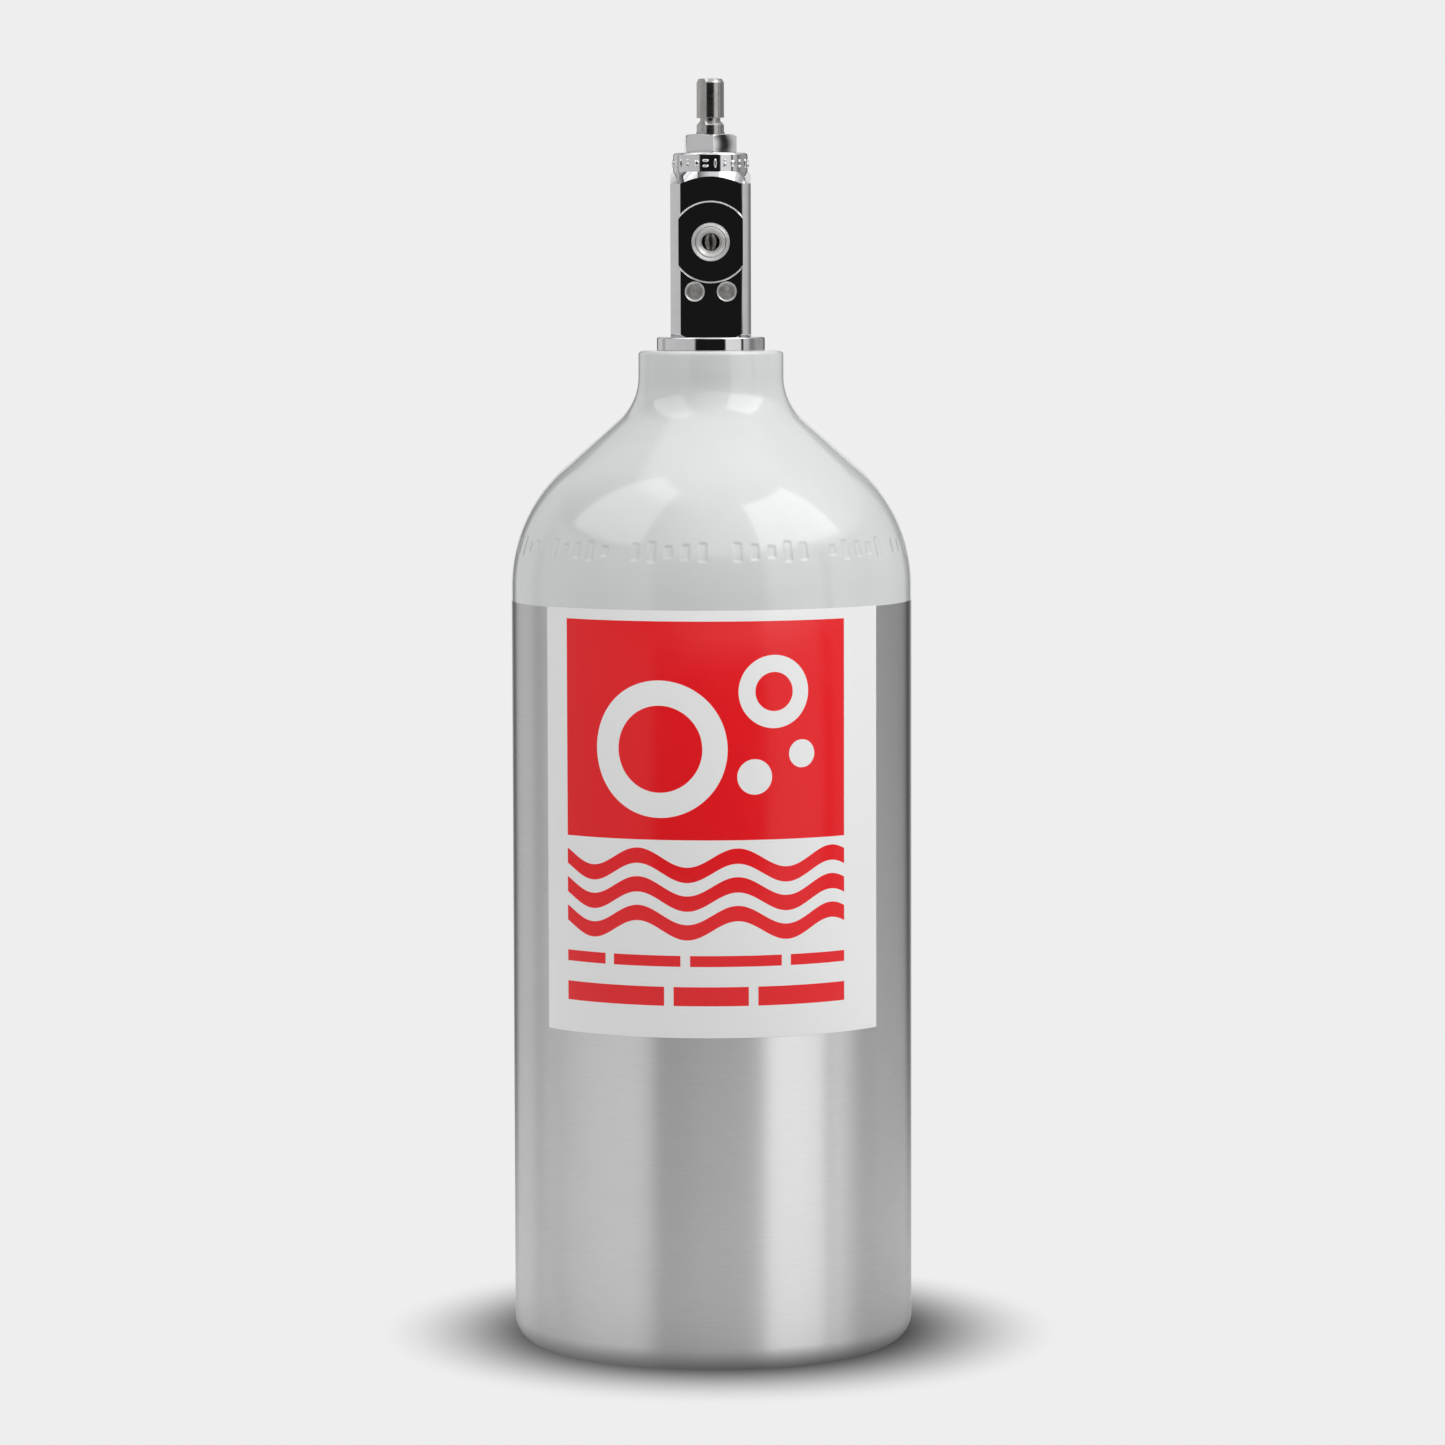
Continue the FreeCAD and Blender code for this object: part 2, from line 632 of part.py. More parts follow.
def make_relief():
    """The pressure relief: a gasket, a rupture disc, and the vented plug that clamps them."""
    make_relief_part("relief_gasket", [
        ("dims.relief_seat", "dims.relief_passage_radius"),
        ("dims.relief_seat", RELIEF_FITTED_RADIUS),
        (RELIEF_DISC_FOOT, RELIEF_FITTED_RADIUS),
        (RELIEF_DISC_FOOT, "dims.relief_passage_radius"),
    ])
    make_relief_part("relief_disc", [
        (RELIEF_DISC_FOOT, "0"),
        (RELIEF_DISC_FOOT, RELIEF_FITTED_RADIUS),
        (RELIEF_PLUG_FOOT, RELIEF_FITTED_RADIUS),
        (RELIEF_PLUG_FOOT, "0"),
    ])
    plug_end = "dims.face_flat + dims.relief_plug_proud"
    plug = make_relief_part("relief_plug", [
        (RELIEF_PLUG_FOOT, "dims.relief_vent_radius"),
        (RELIEF_PLUG_FOOT, RELIEF_FITTED_RADIUS),
        ("dims.face_flat", RELIEF_FITTED_RADIUS),
        (plug_end, f"{RELIEF_FITTED_RADIUS} - dims.relief_plug_proud"),
        (plug_end, "dims.relief_vent_radius"),
    ])
    # The XZ plane faces -Y, so the socket's sketch sits at a negative lift and cuts towards -Y.
    key = start_sketch(plug, "XZ_Plane", "relief_key", aside="dims.relief_height", lift=f"-({plug_end})")
    draw_hexagon(key, "dims.relief_key_across_flats")
    cut_pocket(plug, "relief_socket", key, length="dims.relief_key_depth", reverse=True)


make_cylinder_shell()
make_label()
make_valve_body()
make_gland_nut()
make_valve_stem()
make_seat_plug()
make_relief()

make_seal("neck_oring", "dims.stub_radius", NECK_GLAND, "(0 - dims.neck_gland_depth / 2)")
make_seal("gland_oring", GLAND_GROOVE_ROOT, "dims.gland_bore",
          f"({GLAND_GROOVE_FOOT} + dims.gland_groove_width / 2)")
make_seal("stem_oring", SEAL_GROOVE_ROOT, NUT_BORE,
          f"({SEAL_GROOVE_FOOT} + (dims.seal_groove_width - dims.backup_ring_width) / 2)")
make_ring("stem_backup_ring", SEAL_GROOVE_ROOT, "dims.stem_radius",
          f"{SEAL_GROOVE_FOOT} + dims.seal_groove_width - dims.backup_ring_width",
          f"{SEAL_GROOVE_FOOT} + dims.seal_groove_width")
make_ring("stem_washer", "dims.chamber_radius", NUT_SHANK, "dims.gland_step", STEM_WASHER_TOP)
make_ring("thrust_washer", NUT_BORE, NUT_SHANK, THRUST_WASHER_FOOT, NUT_FOOT)
make_ring("seat_pad", "0", "dims.pad_radius", PAD_FOOT, PAD_SEAT)
make_ring("inlet_filter", "0", "dims.tube_radius", FILTER_FOOT, TUBE_SOCKET_TOP)
make_ring("debris_tube", "dims.tube_bore", "dims.tube_radius", f"{FILTER_FOOT} - dims.tube_length", FILTER_FOOT)

doc.recompute()
for item in doc.Objects:
    if "Invalid" in item.State or "Error" in item.State:
        raise RuntimeError(f"{item.Label} failed: {item.State}")
for part in sub_parts:
    if part.Shape.isNull() or not part.Shape.isValid() or len(part.Shape.Solids) != 1:
        raise RuntimeError(f"{part.Label} is not one valid solid")

os.makedirs("parts", exist_ok=True)
for part in sub_parts:
    part.Shape.exportStep(f"parts/{part.Label}.step")
    box = part.Shape.BoundBox
    print(f"{part.Label:18s} {part.Shape.Volume:12.1f} mm3  z {box.ZMin:7.2f} to {box.ZMax:7.2f}"
          f"  width {box.XLength:6.2f}")
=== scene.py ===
# %% [markdown]
# # An oxygen cylinder with a post valve
# The real object is a seamless aluminium bottle with a chromed brass valve screwed into its neck.
# Its sizes come from a CAD model, which is loaded here as a fixed frame. Blender's work is the
# surface: soft edges, brushed metal, gloss paint, printed vinyl and chrome.

import bmesh
import bpy
import math
from mathutils import Matrix, Vector


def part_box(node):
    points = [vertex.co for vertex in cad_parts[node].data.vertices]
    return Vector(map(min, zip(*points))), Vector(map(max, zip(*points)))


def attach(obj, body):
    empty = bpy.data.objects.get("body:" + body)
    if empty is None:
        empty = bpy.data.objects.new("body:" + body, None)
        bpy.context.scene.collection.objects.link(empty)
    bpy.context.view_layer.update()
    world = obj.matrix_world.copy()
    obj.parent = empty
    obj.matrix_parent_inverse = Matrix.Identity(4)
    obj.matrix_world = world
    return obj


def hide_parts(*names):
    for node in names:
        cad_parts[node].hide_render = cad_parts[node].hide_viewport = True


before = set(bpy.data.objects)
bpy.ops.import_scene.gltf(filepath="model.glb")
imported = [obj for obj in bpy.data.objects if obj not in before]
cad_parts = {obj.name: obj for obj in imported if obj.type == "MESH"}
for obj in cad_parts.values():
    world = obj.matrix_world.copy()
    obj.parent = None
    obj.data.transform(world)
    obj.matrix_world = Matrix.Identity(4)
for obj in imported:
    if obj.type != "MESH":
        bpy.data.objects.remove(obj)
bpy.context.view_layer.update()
MM = 0.001

# %% [markdown]
# ## Where things are
# Heights and radii are read from the CAD nodes' boxes, so that each new piece lands where the CAD
# piece was. Sizes that a box can't tell, such as a groove's depth, are named where they are used.

# %% Sizes from the frame
barrel_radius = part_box("cylinder_shell")[1].x / MM
neck_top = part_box("cylinder_shell")[1].z / MM
label_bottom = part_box("label")[0].z / MM
label_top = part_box("label")[1].z / MM
flange_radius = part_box("valve_body")[1].x / MM
stub_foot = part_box("valve_body")[0].z / MM
collar_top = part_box("valve_body")[1].z / MM
nut_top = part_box("gland_nut")[1].z / MM
stem_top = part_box("valve_stem")[1].z / MM
stem_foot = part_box("valve_stem")[0].z / MM
print("barrel radius", round(barrel_radius, 2), "neck top", round(neck_top, 1), "stem top", round(stem_top, 1))

# %% [markdown]
# ## The camera
# A long lens from 1.6 m away sees the bottle almost flat on, a little from above its foot. The
# camera is pitched down so that the bottle stands in the middle of the picture.

# %% Camera
camera_distance = 1.6
camera_height = 0.3055
camera_pitch = math.radians(4.725)
camera_roll = math.radians(0.155)

camera_data = bpy.data.cameras.new("studio_camera")
camera_data.sensor_width = 36.0
camera_data.lens = 143.3
camera_data.shift_x = 0.0082
camera = bpy.data.objects.new("studio_camera", camera_data)
bpy.context.scene.collection.objects.link(camera)
camera.location = (0.0, -camera_distance, camera_height)
camera.rotation_euler = (math.radians(90) - camera_pitch, camera_roll, 0.0)
bpy.context.scene.camera = camera
bpy.context.scene.view_settings.view_transform = "Standard"
print("camera at", tuple(round(x, 3) for x in camera.location), "lens", camera_data.lens)

# %% [markdown]
# ## Helpers for turned pieces
# Most of this object is turned on a lathe, so its pieces are a half outline spun about an axis.
# A curve in the outline is an arc given by its centre, radius and two angles.

# %% Outline and spin helpers
def arc(centre, radius, start, end, steps):
    """Points along an arc, in degrees, from start to end."""
    angles = [math.radians(start + (end - start) * step / steps) for step in range(steps + 1)]
    return [(centre[0] + radius * math.cos(a), centre[1] + radius * math.sin(a)) for a in angles]


def lathe(outline, steps=96, closed=False):
    """Spin an outline of (radius, height) points in mm about Z and return its bmesh."""
    bm = bmesh.new()
    verts = [bm.verts.new((radius * MM, 0.0, height * MM)) for radius, height in outline]
    edges = [bm.edges.new(pair) for pair in zip(verts, verts[1:])]
    if closed:
        edges.append(bm.edges.new((verts[-1], verts[0])))
    bmesh.ops.spin(bm, geom=verts + edges, cent=(0, 0, 0), axis=(0, 0, 1), angle=2 * math.pi,
                   steps=steps, use_merge=True, use_duplicate=False)
    bmesh.ops.remove_doubles(bm, verts=bm.verts, dist=1e-7)
    bmesh.ops.dissolve_degenerate(bm, edges=bm.edges, dist=1e-8)
    bmesh.ops.recalc_face_normals(bm, faces=bm.faces)
    return bm


def to_object(bm, name, sharp_angle=30.0):
    """Turn a bmesh into a linked object, smooth except across sharp edges."""
    for face in bm.faces:
        face.smooth = True
    mesh = bpy.data.meshes.new(name)
    bm.to_mesh(mesh)
    bm.free()
    mesh.set_sharp_from_angle(angle=math.radians(sharp_angle))
    piece = bpy.data.objects.new(name, mesh)
    bpy.context.scene.collection.objects.link(piece)
    return piece


def apply_modifiers(piece, sharp_angle=30.0):
    """Bake a piece's modifiers into its mesh."""
    depsgraph = bpy.context.evaluated_depsgraph_get()
    mesh = bpy.data.meshes.new_from_object(piece.evaluated_get(depsgraph))
    piece.modifiers.clear()
    piece.data = mesh
    mesh.set_sharp_from_angle(angle=math.radians(sharp_angle))


def carve(piece, cutters):
    """Subtract bmeshes from a piece, one after another."""
    tools = []
    for number, bm in enumerate(cutters):
        tool = to_object(bm, f"cutter_{number}")
        cut = piece.modifiers.new(tool.name, "BOOLEAN")
        cut.operation = "DIFFERENCE"
        cut.solver = "EXACT"
        cut.object = tool
        tools.append(tool)
    apply_modifiers(piece)
    for tool in tools:
        bpy.data.objects.remove(tool)


def move(bm, matrix):
    """Move all of a bmesh by a matrix."""
    bmesh.ops.transform(bm, matrix=matrix, verts=bm.verts)
    return bm


def block(low, high):
    """A box bmesh between two corners in mm."""
    bm = bmesh.new()
    bmesh.ops.create_cube(bm, size=1.0)
    low, high = Vector(low) * MM, Vector(high) * MM
    bmesh.ops.scale(bm, vec=high - low, verts=bm.verts)
    bmesh.ops.translate(bm, vec=(high + low) / 2, verts=bm.verts)
    return bm


# %% [markdown]
# ## Helpers for materials
# Every finish is a node tree. The effects that several finishes share are node groups: lathe
# lines, which run round the axis, and handling marks, which make gloss uneven.

# %% Node helpers
def add(tree, kind, **settings):
    """Add a node and set its properties and plain input values."""
    node = tree.nodes.new(kind)
    for key, value in settings.items():
        if hasattr(node, key):
            setattr(node, key, value)
        else:
            node.inputs[key.replace("_", " ")].default_value = value
    return node


def math_node(tree, operation, first, second=None, third=None, clamp=False):
    """A Math node whose inputs are numbers or sockets. Returns its output socket."""
    node = tree.nodes.new("ShaderNodeMath")
    node.operation = operation
    node.use_clamp = clamp
    for index, value in enumerate((first, second, third)):
        if value is None:
            continue
        if isinstance(value, (int, float)):
            node.inputs[index].default_value = value
        else:
            tree.links.new(value, node.inputs[index])
    return node.outputs[0]


def ramp(tree, value, low, high, to_low=0.0, to_high=1.0, smooth=True):
    """Map a value from one range to another, clamped. Returns the output socket."""
    node = tree.nodes.new("ShaderNodeMapRange")
    node.interpolation_type = "SMOOTHSTEP" if smooth else "LINEAR"
    tree.links.new(value, node.inputs["Value"])
    for name, number in (("From Min", low), ("From Max", high), ("To Min", to_low), ("To Max", to_high)):
        node.inputs[name].default_value = number
    return node.outputs[0]


def mix_colour(tree, factor, first, second):
    """Mix two colours, each a tuple or a socket. Returns the output socket."""
    node = tree.nodes.new("ShaderNodeMix")
    node.data_type = "RGBA"
    tree.links.new(factor, node.inputs["Factor"])
    for socket, value in ((node.inputs[6], first), (node.inputs[7], second)):
        if isinstance(value, tuple):
            socket.default_value = (*value, 1.0)
        else:
            tree.links.new(value, socket)
    return node.outputs[2]


def noise(tree, vector, scale, detail=2.0, roughness=0.5):
    """A noise texture's value, from -0.5 to 0.5 or so about 0.5. Returns the output socket."""
    node = add(tree, "ShaderNodeTexNoise", Scale=scale, Detail=detail, Roughness=roughness)
    tree.links.new(vector, node.inputs["Vector"])
    return node.outputs["Fac"]


def new_material(name):
    """An empty material with its Principled shader. Returns material, tree and shader."""
    material = bpy.data.materials.new(name)
    material.use_nodes = True
    tree = material.node_tree
    return material, tree, tree.nodes["Principled BSDF"]


def bump(tree, shader, height, distance, strength=1.0):
    """Feed a height in to the shader's normal."""
    node = add(tree, "ShaderNodeBump", Strength=strength, Distance=distance)
    tree.links.new(height, node.inputs["Height"])
    tree.links.new(node.outputs["Normal"], shader.inputs["Normal"])
    return node


def group(name, inputs, outputs):
    """A new node group with named float or vector sockets. Returns tree, input and output nodes."""
    tree = bpy.data.node_groups.new(name, "ShaderNodeTree")
    for socket, kind, value in inputs:
        made = tree.interface.new_socket(name=socket, in_out="INPUT", socket_type=f"NodeSocket{kind}")
        if value is not None:
            made.default_value = value
    for socket in outputs:
        tree.interface.new_socket(name=socket, in_out="OUTPUT", socket_type="NodeSocketFloat")
    return tree, tree.nodes.new("NodeGroupInput"), tree.nodes.new("NodeGroupOutput")


def place_group(tree, shared, **values):
    """Place a node group in a material, with plain values or sockets. Returns the node."""
    node = tree.nodes.new("ShaderNodeGroup")
    node.node_tree = shared
    for key, value in values.items():
        socket = node.inputs[key.replace("_", " ")]
        if isinstance(value, (int, float)):
            socket.default_value = value
        else:
            tree.links.new(value, socket)
    return node


def object_coordinates(tree):
    """The Object coordinates socket, in metres in the row's frame."""
    return tree.nodes.new("ShaderNodeTexCoord").outputs["Object"]


# %% Shared effect: lines that run round the axis
lathe_lines, lines_in, lines_out = group(
    "lathe_lines", [("Vector", "Vector", None), ("Lines per metre", "Float", 2500.0),
                    ("Length", "Float", 30.0)], ["Lines"])
split = lathe_lines.nodes.new("ShaderNodeSeparateXYZ")
lathe_lines.links.new(lines_in.outputs["Vector"], split.inputs[0])
joined = lathe_lines.nodes.new("ShaderNodeCombineXYZ")
for axis in "XY":
    along = math_node(lathe_lines, "MULTIPLY", split.outputs[axis], lines_in.outputs["Length"])
    lathe_lines.links.new(along, joined.inputs[axis])
across = math_node(lathe_lines, "MULTIPLY", split.outputs["Z"], lines_in.outputs["Lines per metre"])
lathe_lines.links.new(across, joined.inputs["Z"])
lathe_lines.links.new(noise(lathe_lines, joined.outputs[0], 1.0, 3.0, 0.6), lines_out.inputs["Lines"])

# %% Shared effect: handling marks
handling_marks, marks_in, marks_out = group(
    "handling_marks", [("Vector", "Vector", None), ("Patch size", "Float", 18.0)], ["Marks"])
patch_scale = math_node(handling_marks, "DIVIDE", 1000.0, marks_in.outputs["Patch size"])
patches = add(handling_marks, "ShaderNodeTexNoise", Detail=4.0, Roughness=0.62, Distortion=0.8)
handling_marks.links.new(marks_in.outputs["Vector"], patches.inputs["Vector"])
handling_marks.links.new(patch_scale, patches.inputs["Scale"])
handling_marks.links.new(ramp(handling_marks, patches.outputs["Fac"], 0.38, 0.68), marks_out.inputs["Marks"])
print("shared effects:", [tree.name for tree in bpy.data.node_groups])

# %% [markdown]
# ## Brushed aluminium
# The barrel is brushed while it turns, so its scratches run round it. Light spreads up and down
# across the scratches but stays narrow sideways, which draws upright bands. The shader's
# anisotropy makes that spread, and a fine bump adds the scratches one can see.

# %% Brushed aluminium
def make_brushed_aluminium():
    material, tree, shader = new_material("brushed_aluminium")
    place = object_coordinates(tree)
    fine = place_group(tree, lathe_lines, Vector=place, Lines_per_metre=5200.0, Length=170.0)
    broad = place_group(tree, lathe_lines, Vector=place, Lines_per_metre=2200.0, Length=120.0)
    marks = place_group(tree, handling_marks, Vector=place, Patch_size=34.0)
    lines = math_node(tree, "ADD", math_node(tree, "MULTIPLY", fine.outputs[0], 0.65),
                      math_node(tree, "MULTIPLY", broad.outputs[0], 0.35))
    colour = mix_colour(tree, ramp(tree, lines, 0.3, 0.7), (0.695, 0.695, 0.700), (0.735, 0.735, 0.740))
    tree.links.new(colour, shader.inputs["Base Color"])
    roughness = math_node(tree, "ADD", ramp(tree, lines, 0.3, 0.7, 0.385, 0.355),
                          math_node(tree, "MULTIPLY", marks.outputs[0], 0.02))
    tree.links.new(roughness, shader.inputs["Roughness"])
    shader.inputs["Metallic"].default_value = 1.0
    shader.inputs["Anisotropic"].default_value = 1.0
    shader.inputs["Anisotropic Rotation"].default_value = 0.25
    tangent = add(tree, "ShaderNodeTangent", direction_type="RADIAL", axis="Z")
    tree.links.new(tangent.outputs[0], shader.inputs["Tangent"])
    bump(tree, shader, lines, 0.000006, 0.5)
    return material


brushed_aluminium = make_brushed_aluminium()

# %% [markdown]
# ## White gloss paint with stamped marks
# The shoulder is sprayed white over marks that are stamped in the metal. Here the marks are plain
# bars of three heights, with no letters. They are a height map along the angle round the axis, so
# the gloss bends over their soft edges.

# %% White gloss paint
def make_white_paint():
    material, tree, shader = new_material("white_gloss_paint")
    place = object_coordinates(tree)
    split = tree.nodes.new("ShaderNodeSeparateXYZ")
    tree.links.new(place, split.inputs[0])
    backward = math_node(tree, "MULTIPLY", split.outputs["Y"], -1.0)
    turn = math_node(tree, "ARCTAN2", split.outputs["X"], backward)
    height = math_node(tree, "MULTIPLY", split.outputs["Z"], 1000.0)
    bar_count = 72.0
    position = math_node(tree, "MULTIPLY", turn, bar_count / (2 * math.pi))
    cell = math_node(tree, "FLOOR", position)
    within = math_node(tree, "ABSOLUTE", math_node(tree, "SUBTRACT", math_node(tree, "FRACT", position), 0.5))
    step = math_node(tree, "MODULO", math_node(tree, "ABSOLUTE", math_node(tree, "MULTIPLY", cell, 5.0)), 7.0)
    half_height = ramp(tree, step, 0.0, 6.0, 1.3, 2.7, smooth=False)
    off_centre = math_node(tree, "ABSOLUTE", math_node(tree, "SUBTRACT", height, 223.6))
    side = ramp(tree, within, 0.10, 0.34, 1.0, 0.0)
    end = ramp(tree, math_node(tree, "SUBTRACT", off_centre, half_height), -0.55, 0.55, 1.0, 0.0)
    word_gap = math_node(tree, "GREATER_THAN", math_node(tree, "ABSOLUTE", math_node(tree, "MODULO", cell, 6.0)), 0.5)
    stamped = math_node(tree, "MULTIPLY", math_node(tree, "MULTIPLY", side, end), word_gap)
    peel = noise(tree, place, 260.0, 2.0, 0.5)
    surface = math_node(tree, "ADD", math_node(tree, "MULTIPLY", stamped, -1.0),
                        math_node(tree, "MULTIPLY", peel, 0.10))
    bump(tree, shader, surface, 0.00028, 1.0)
    marks = place_group(tree, handling_marks, Vector=place, Patch_size=40.0)
    tree.links.new(mix_colour(tree, marks.outputs[0], (0.79, 0.82, 0.80), (0.765, 0.795, 0.775)),
                   shader.inputs["Base Color"])
    tree.links.new(ramp(tree, marks.outputs[0], 0.0, 1.0, 0.10, 0.16), shader.inputs["Roughness"])
    shader.inputs["Coat Weight"].default_value = 0.6
    shader.inputs["Coat Roughness"].default_value = 0.04
    return material


white_paint = make_white_paint()

# %% [markdown]
# ## The bottle
# The bottle is one spun outline, outside and inside, so it is truly hollow with an open neck. The
# shoulder is an arc, a short cone and a hollow curve that meets the neck. One ring of the mesh
# lies on the paint's edge, and the faces above it take the paint.

# %% Cylinder shell
base_corner = 7.0
wall = 5.2
base_thickness = 9.0
inner_corner = 13.0
neck_radius = 20.2
neck_straight = 7.3
neck_fillet = 15.6
shoulder_arc = 44.5
slope = 49.0
rim_round = 1.2
paint_edge = label_top - 0.2

slope_cos, slope_sin = math.cos(math.radians(slope)), math.sin(math.radians(slope))
fillet_foot = neck_top - neck_straight
cone_run = barrel_radius - (shoulder_arc + neck_fillet) * (1 - slope_cos) - neck_radius
barrel_top = fillet_foot - (neck_fillet + shoulder_arc) * slope_sin - cone_run / math.tan(math.radians(slope))
neck_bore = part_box("neck_oring")[0].x / -MM - 2.47
dome_radius = neck_top - 30.0 - barrel_top
inner_radius = barrel_radius - wall

outside = [(0.0, 0.0), (24.0, 0.0)]
outside += arc((barrel_radius - base_corner, base_corner), base_corner, -90, 0, 12)
outside += [(barrel_radius, height) for height in (60.0, 130.0, paint_edge)]
outside += arc((barrel_radius - shoulder_arc, barrel_top), shoulder_arc, 0, slope, 28)
outside += arc((neck_radius + neck_fillet, fillet_foot), neck_fillet, 180 + slope, 180, 16)
outside += arc((neck_radius - rim_round, neck_top - rim_round), rim_round, 0, 90, 6)
inside = [(12.05, neck_top), (12.05, neck_top - 2.6), (9.53, neck_top - 2.6), (9.53, neck_top - 30.0)]
inside += arc((inner_radius - dome_radius, barrel_top), dome_radius, 90, 0, 16)
inside += arc((inner_radius - inner_corner, base_thickness + inner_corner), inner_corner, 0, -90, 8)
inside += [(0.0, base_thickness)]

shell = to_object(lathe(outside + inside, steps=192), "bottle")
shell.data.materials.append(brushed_aluminium)
shell.data.materials.append(white_paint)
for polygon in shell.data.polygons:
    centre = polygon.center / MM
    reach = math.hypot(centre.x, centre.y)
    painted = centre.z > paint_edge and (reach > 19.5 or polygon.normal.z > 0.5) and polygon.normal.dot(
        Vector((centre.x, centre.y, 20.0))) > 0
    polygon.material_index = 1 if painted else 0
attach(shell, "cylinder")
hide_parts("cylinder_shell")
print("bottle faces", len(shell.data.polygons), "barrel ends at", round(barrel_top, 1))

# %% [markdown]
# ## The printed label
# The label is a thin vinyl sheet wrapped on the barrel. Its print is flat colour, so it is drawn
# with masks in the material: boxes, discs, rings and waves on a plane of arc length and height.
# The picture is bubbles and waves, with plain bars where a label has lines of words.

# %% Label print masks
def soft_step(tree, value, edge, softness=0.07):
    """1 below an edge and 0 above it, with a printed dot's softness."""
    return ramp(tree, value, edge - softness, edge + softness, 1.0, 0.0)


def box_mask(tree, across, up, centre, half):
    """A rectangle's mask."""
    side = math_node(tree, "ABSOLUTE", math_node(tree, "SUBTRACT", across, centre[0]))
    rise = math_node(tree, "ABSOLUTE", math_node(tree, "SUBTRACT", up, centre[1]))
    return math_node(tree, "MULTIPLY", soft_step(tree, side, half[0]), soft_step(tree, rise, half[1]))


def ring_mask(tree, across, up, centre, radius, half_width):
    """A ring's mask. A disc is a ring whose half width is its radius."""
    side = math_node(tree, "SUBTRACT", across, centre[0])
    rise = math_node(tree, "SUBTRACT", up, centre[1])
    reach = math_node(tree, "SQRT", math_node(tree, "ADD", math_node(tree, "MULTIPLY", side, side),
                                              math_node(tree, "MULTIPLY", rise, rise)))
    off = math_node(tree, "ABSOLUTE", math_node(tree, "SUBTRACT", reach, radius))
    return soft_step(tree, off, half_width)


def wave_mask(tree, across, up, height, swing, length, half_width):
    """A wavy band's mask."""
    phase = math_node(tree, "MULTIPLY", across, 2 * math.pi / length)
    middle = math_node(tree, "MULTIPLY_ADD", math_node(tree, "SINE", phase), swing, height)
    return soft_step(tree, math_node(tree, "ABSOLUTE", math_node(tree, "SUBTRACT", up, middle)), half_width)


# %% Label material
def make_label_vinyl():
    material, tree, shader = new_material("printed_vinyl")
    place = object_coordinates(tree)
    split = tree.nodes.new("ShaderNodeSeparateXYZ")
    tree.links.new(place, split.inputs[0])
    turn = math_node(tree, "ARCTAN2", split.outputs["X"], math_node(tree, "MULTIPLY", split.outputs["Y"], -1.0))
    across = math_node(tree, "MULTIPLY", turn, barrel_radius)
    up = math_node(tree, "MULTIPLY", split.outputs["Z"], 1000.0)

    middle = -2.4
    half_width = 41.3
    panel = box_mask(tree, across, up, (middle, 175.5), (half_width, 29.6))
    bubbles = [((middle - 12.0, 170.5), 15.2, 3.4), ((middle + 19.5, 186.0), 7.6, 2.3),
               ((middle + 14.0, 163.0), 2.4, 2.4), ((middle + 27.5, 169.0), 1.9, 1.9)]
    paper = None
    for centre, radius, half in bubbles:
        bubble = ring_mask(tree, across, up, centre, radius, half)
        paper = bubble if paper is None else math_node(tree, "MAXIMUM", paper, bubble)
    ink = math_node(tree, "MULTIPLY", panel, math_node(tree, "SUBTRACT", 1.0, paper))

    band = box_mask(tree, across, up, (middle, 131.2), (half_width, 13.8))
    for height in (139.0, 131.2, 123.4):
        wave = wave_mask(tree, across, up, height, 2.6, 27.5, 2.1)
        ink = math_node(tree, "MAXIMUM", ink, math_node(tree, "MULTIPLY", wave, band))

    rows = [(113.0, 1.5, (13.0, 19.0, 25.0, 17.0)), (103.4, 2.6, (30.0, 20.0, 26.0))]
    gap = 2.6
    for height, half_height, widths in rows:
        spare = 2 * half_width - sum(widths) - gap * (len(widths) - 1)
        left = middle - half_width
        for width in widths:
            width += spare / len(widths)
            bar = box_mask(tree, across, up, (left + width / 2, height), (width / 2, half_height))
            ink = math_node(tree, "MAXIMUM", ink, bar)
            left += width + gap
    fleck = noise(tree, place, 900.0, 2.0, 0.5)
    paper_colour = mix_colour(tree, fleck, (0.935, 0.943, 0.935), (0.955, 0.962, 0.953))
    ink_colour = mix_colour(tree, fleck, (0.90, 0.012, 0.018), (0.93, 0.018, 0.024))
    tree.links.new(mix_colour(tree, ink, paper_colour, ink_colour), shader.inputs["Base Color"])
    marks = place_group(tree, handling_marks, Vector=place, Patch_size=22.0)
    tree.links.new(ramp(tree, marks.outputs[0], 0.0, 1.0, 0.16, 0.22), shader.inputs["Roughness"])
    shader.inputs["Specular IOR Level"].default_value = 0.30
    bump(tree, shader, math_node(tree, "ADD", ink, math_node(tree, "MULTIPLY", fleck, 0.5)), 0.000004, 0.5)
    return material


label_vinyl = make_label_vinyl()

# %% Label sheet
label_low, label_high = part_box("label")
label_outer = barrel_radius + 0.12
label_half_angle = math.asin(min(1.0, label_high.x / MM / label_outer))


def wrap_label():
    bm = bmesh.new()
    section = [(barrel_radius + 0.01, label_bottom), (label_outer - 0.03, label_bottom),
               (label_outer, label_bottom + 0.04), (label_outer, label_top - 0.04),
               (label_outer - 0.03, label_top), (barrel_radius + 0.01, label_top)]
    verts = [bm.verts.new((0.0, -radius * MM, height * MM)) for radius, height in section]
    face = bm.faces.new(verts)
    bmesh.ops.rotate(bm, cent=(0, 0, 0), matrix=Matrix.Rotation(-label_half_angle, 3, "Z"), verts=bm.verts)
    spun = bmesh.ops.spin(bm, geom=[face] + list(face.edges) + verts, cent=(0, 0, 0), axis=(0, 0, 1),
                          angle=2 * label_half_angle, steps=72, use_duplicate=False)
    bmesh.ops.recalc_face_normals(bm, faces=bm.faces)
    print("label spun to", len(spun["geom_last"]), "last elements")
    return bm


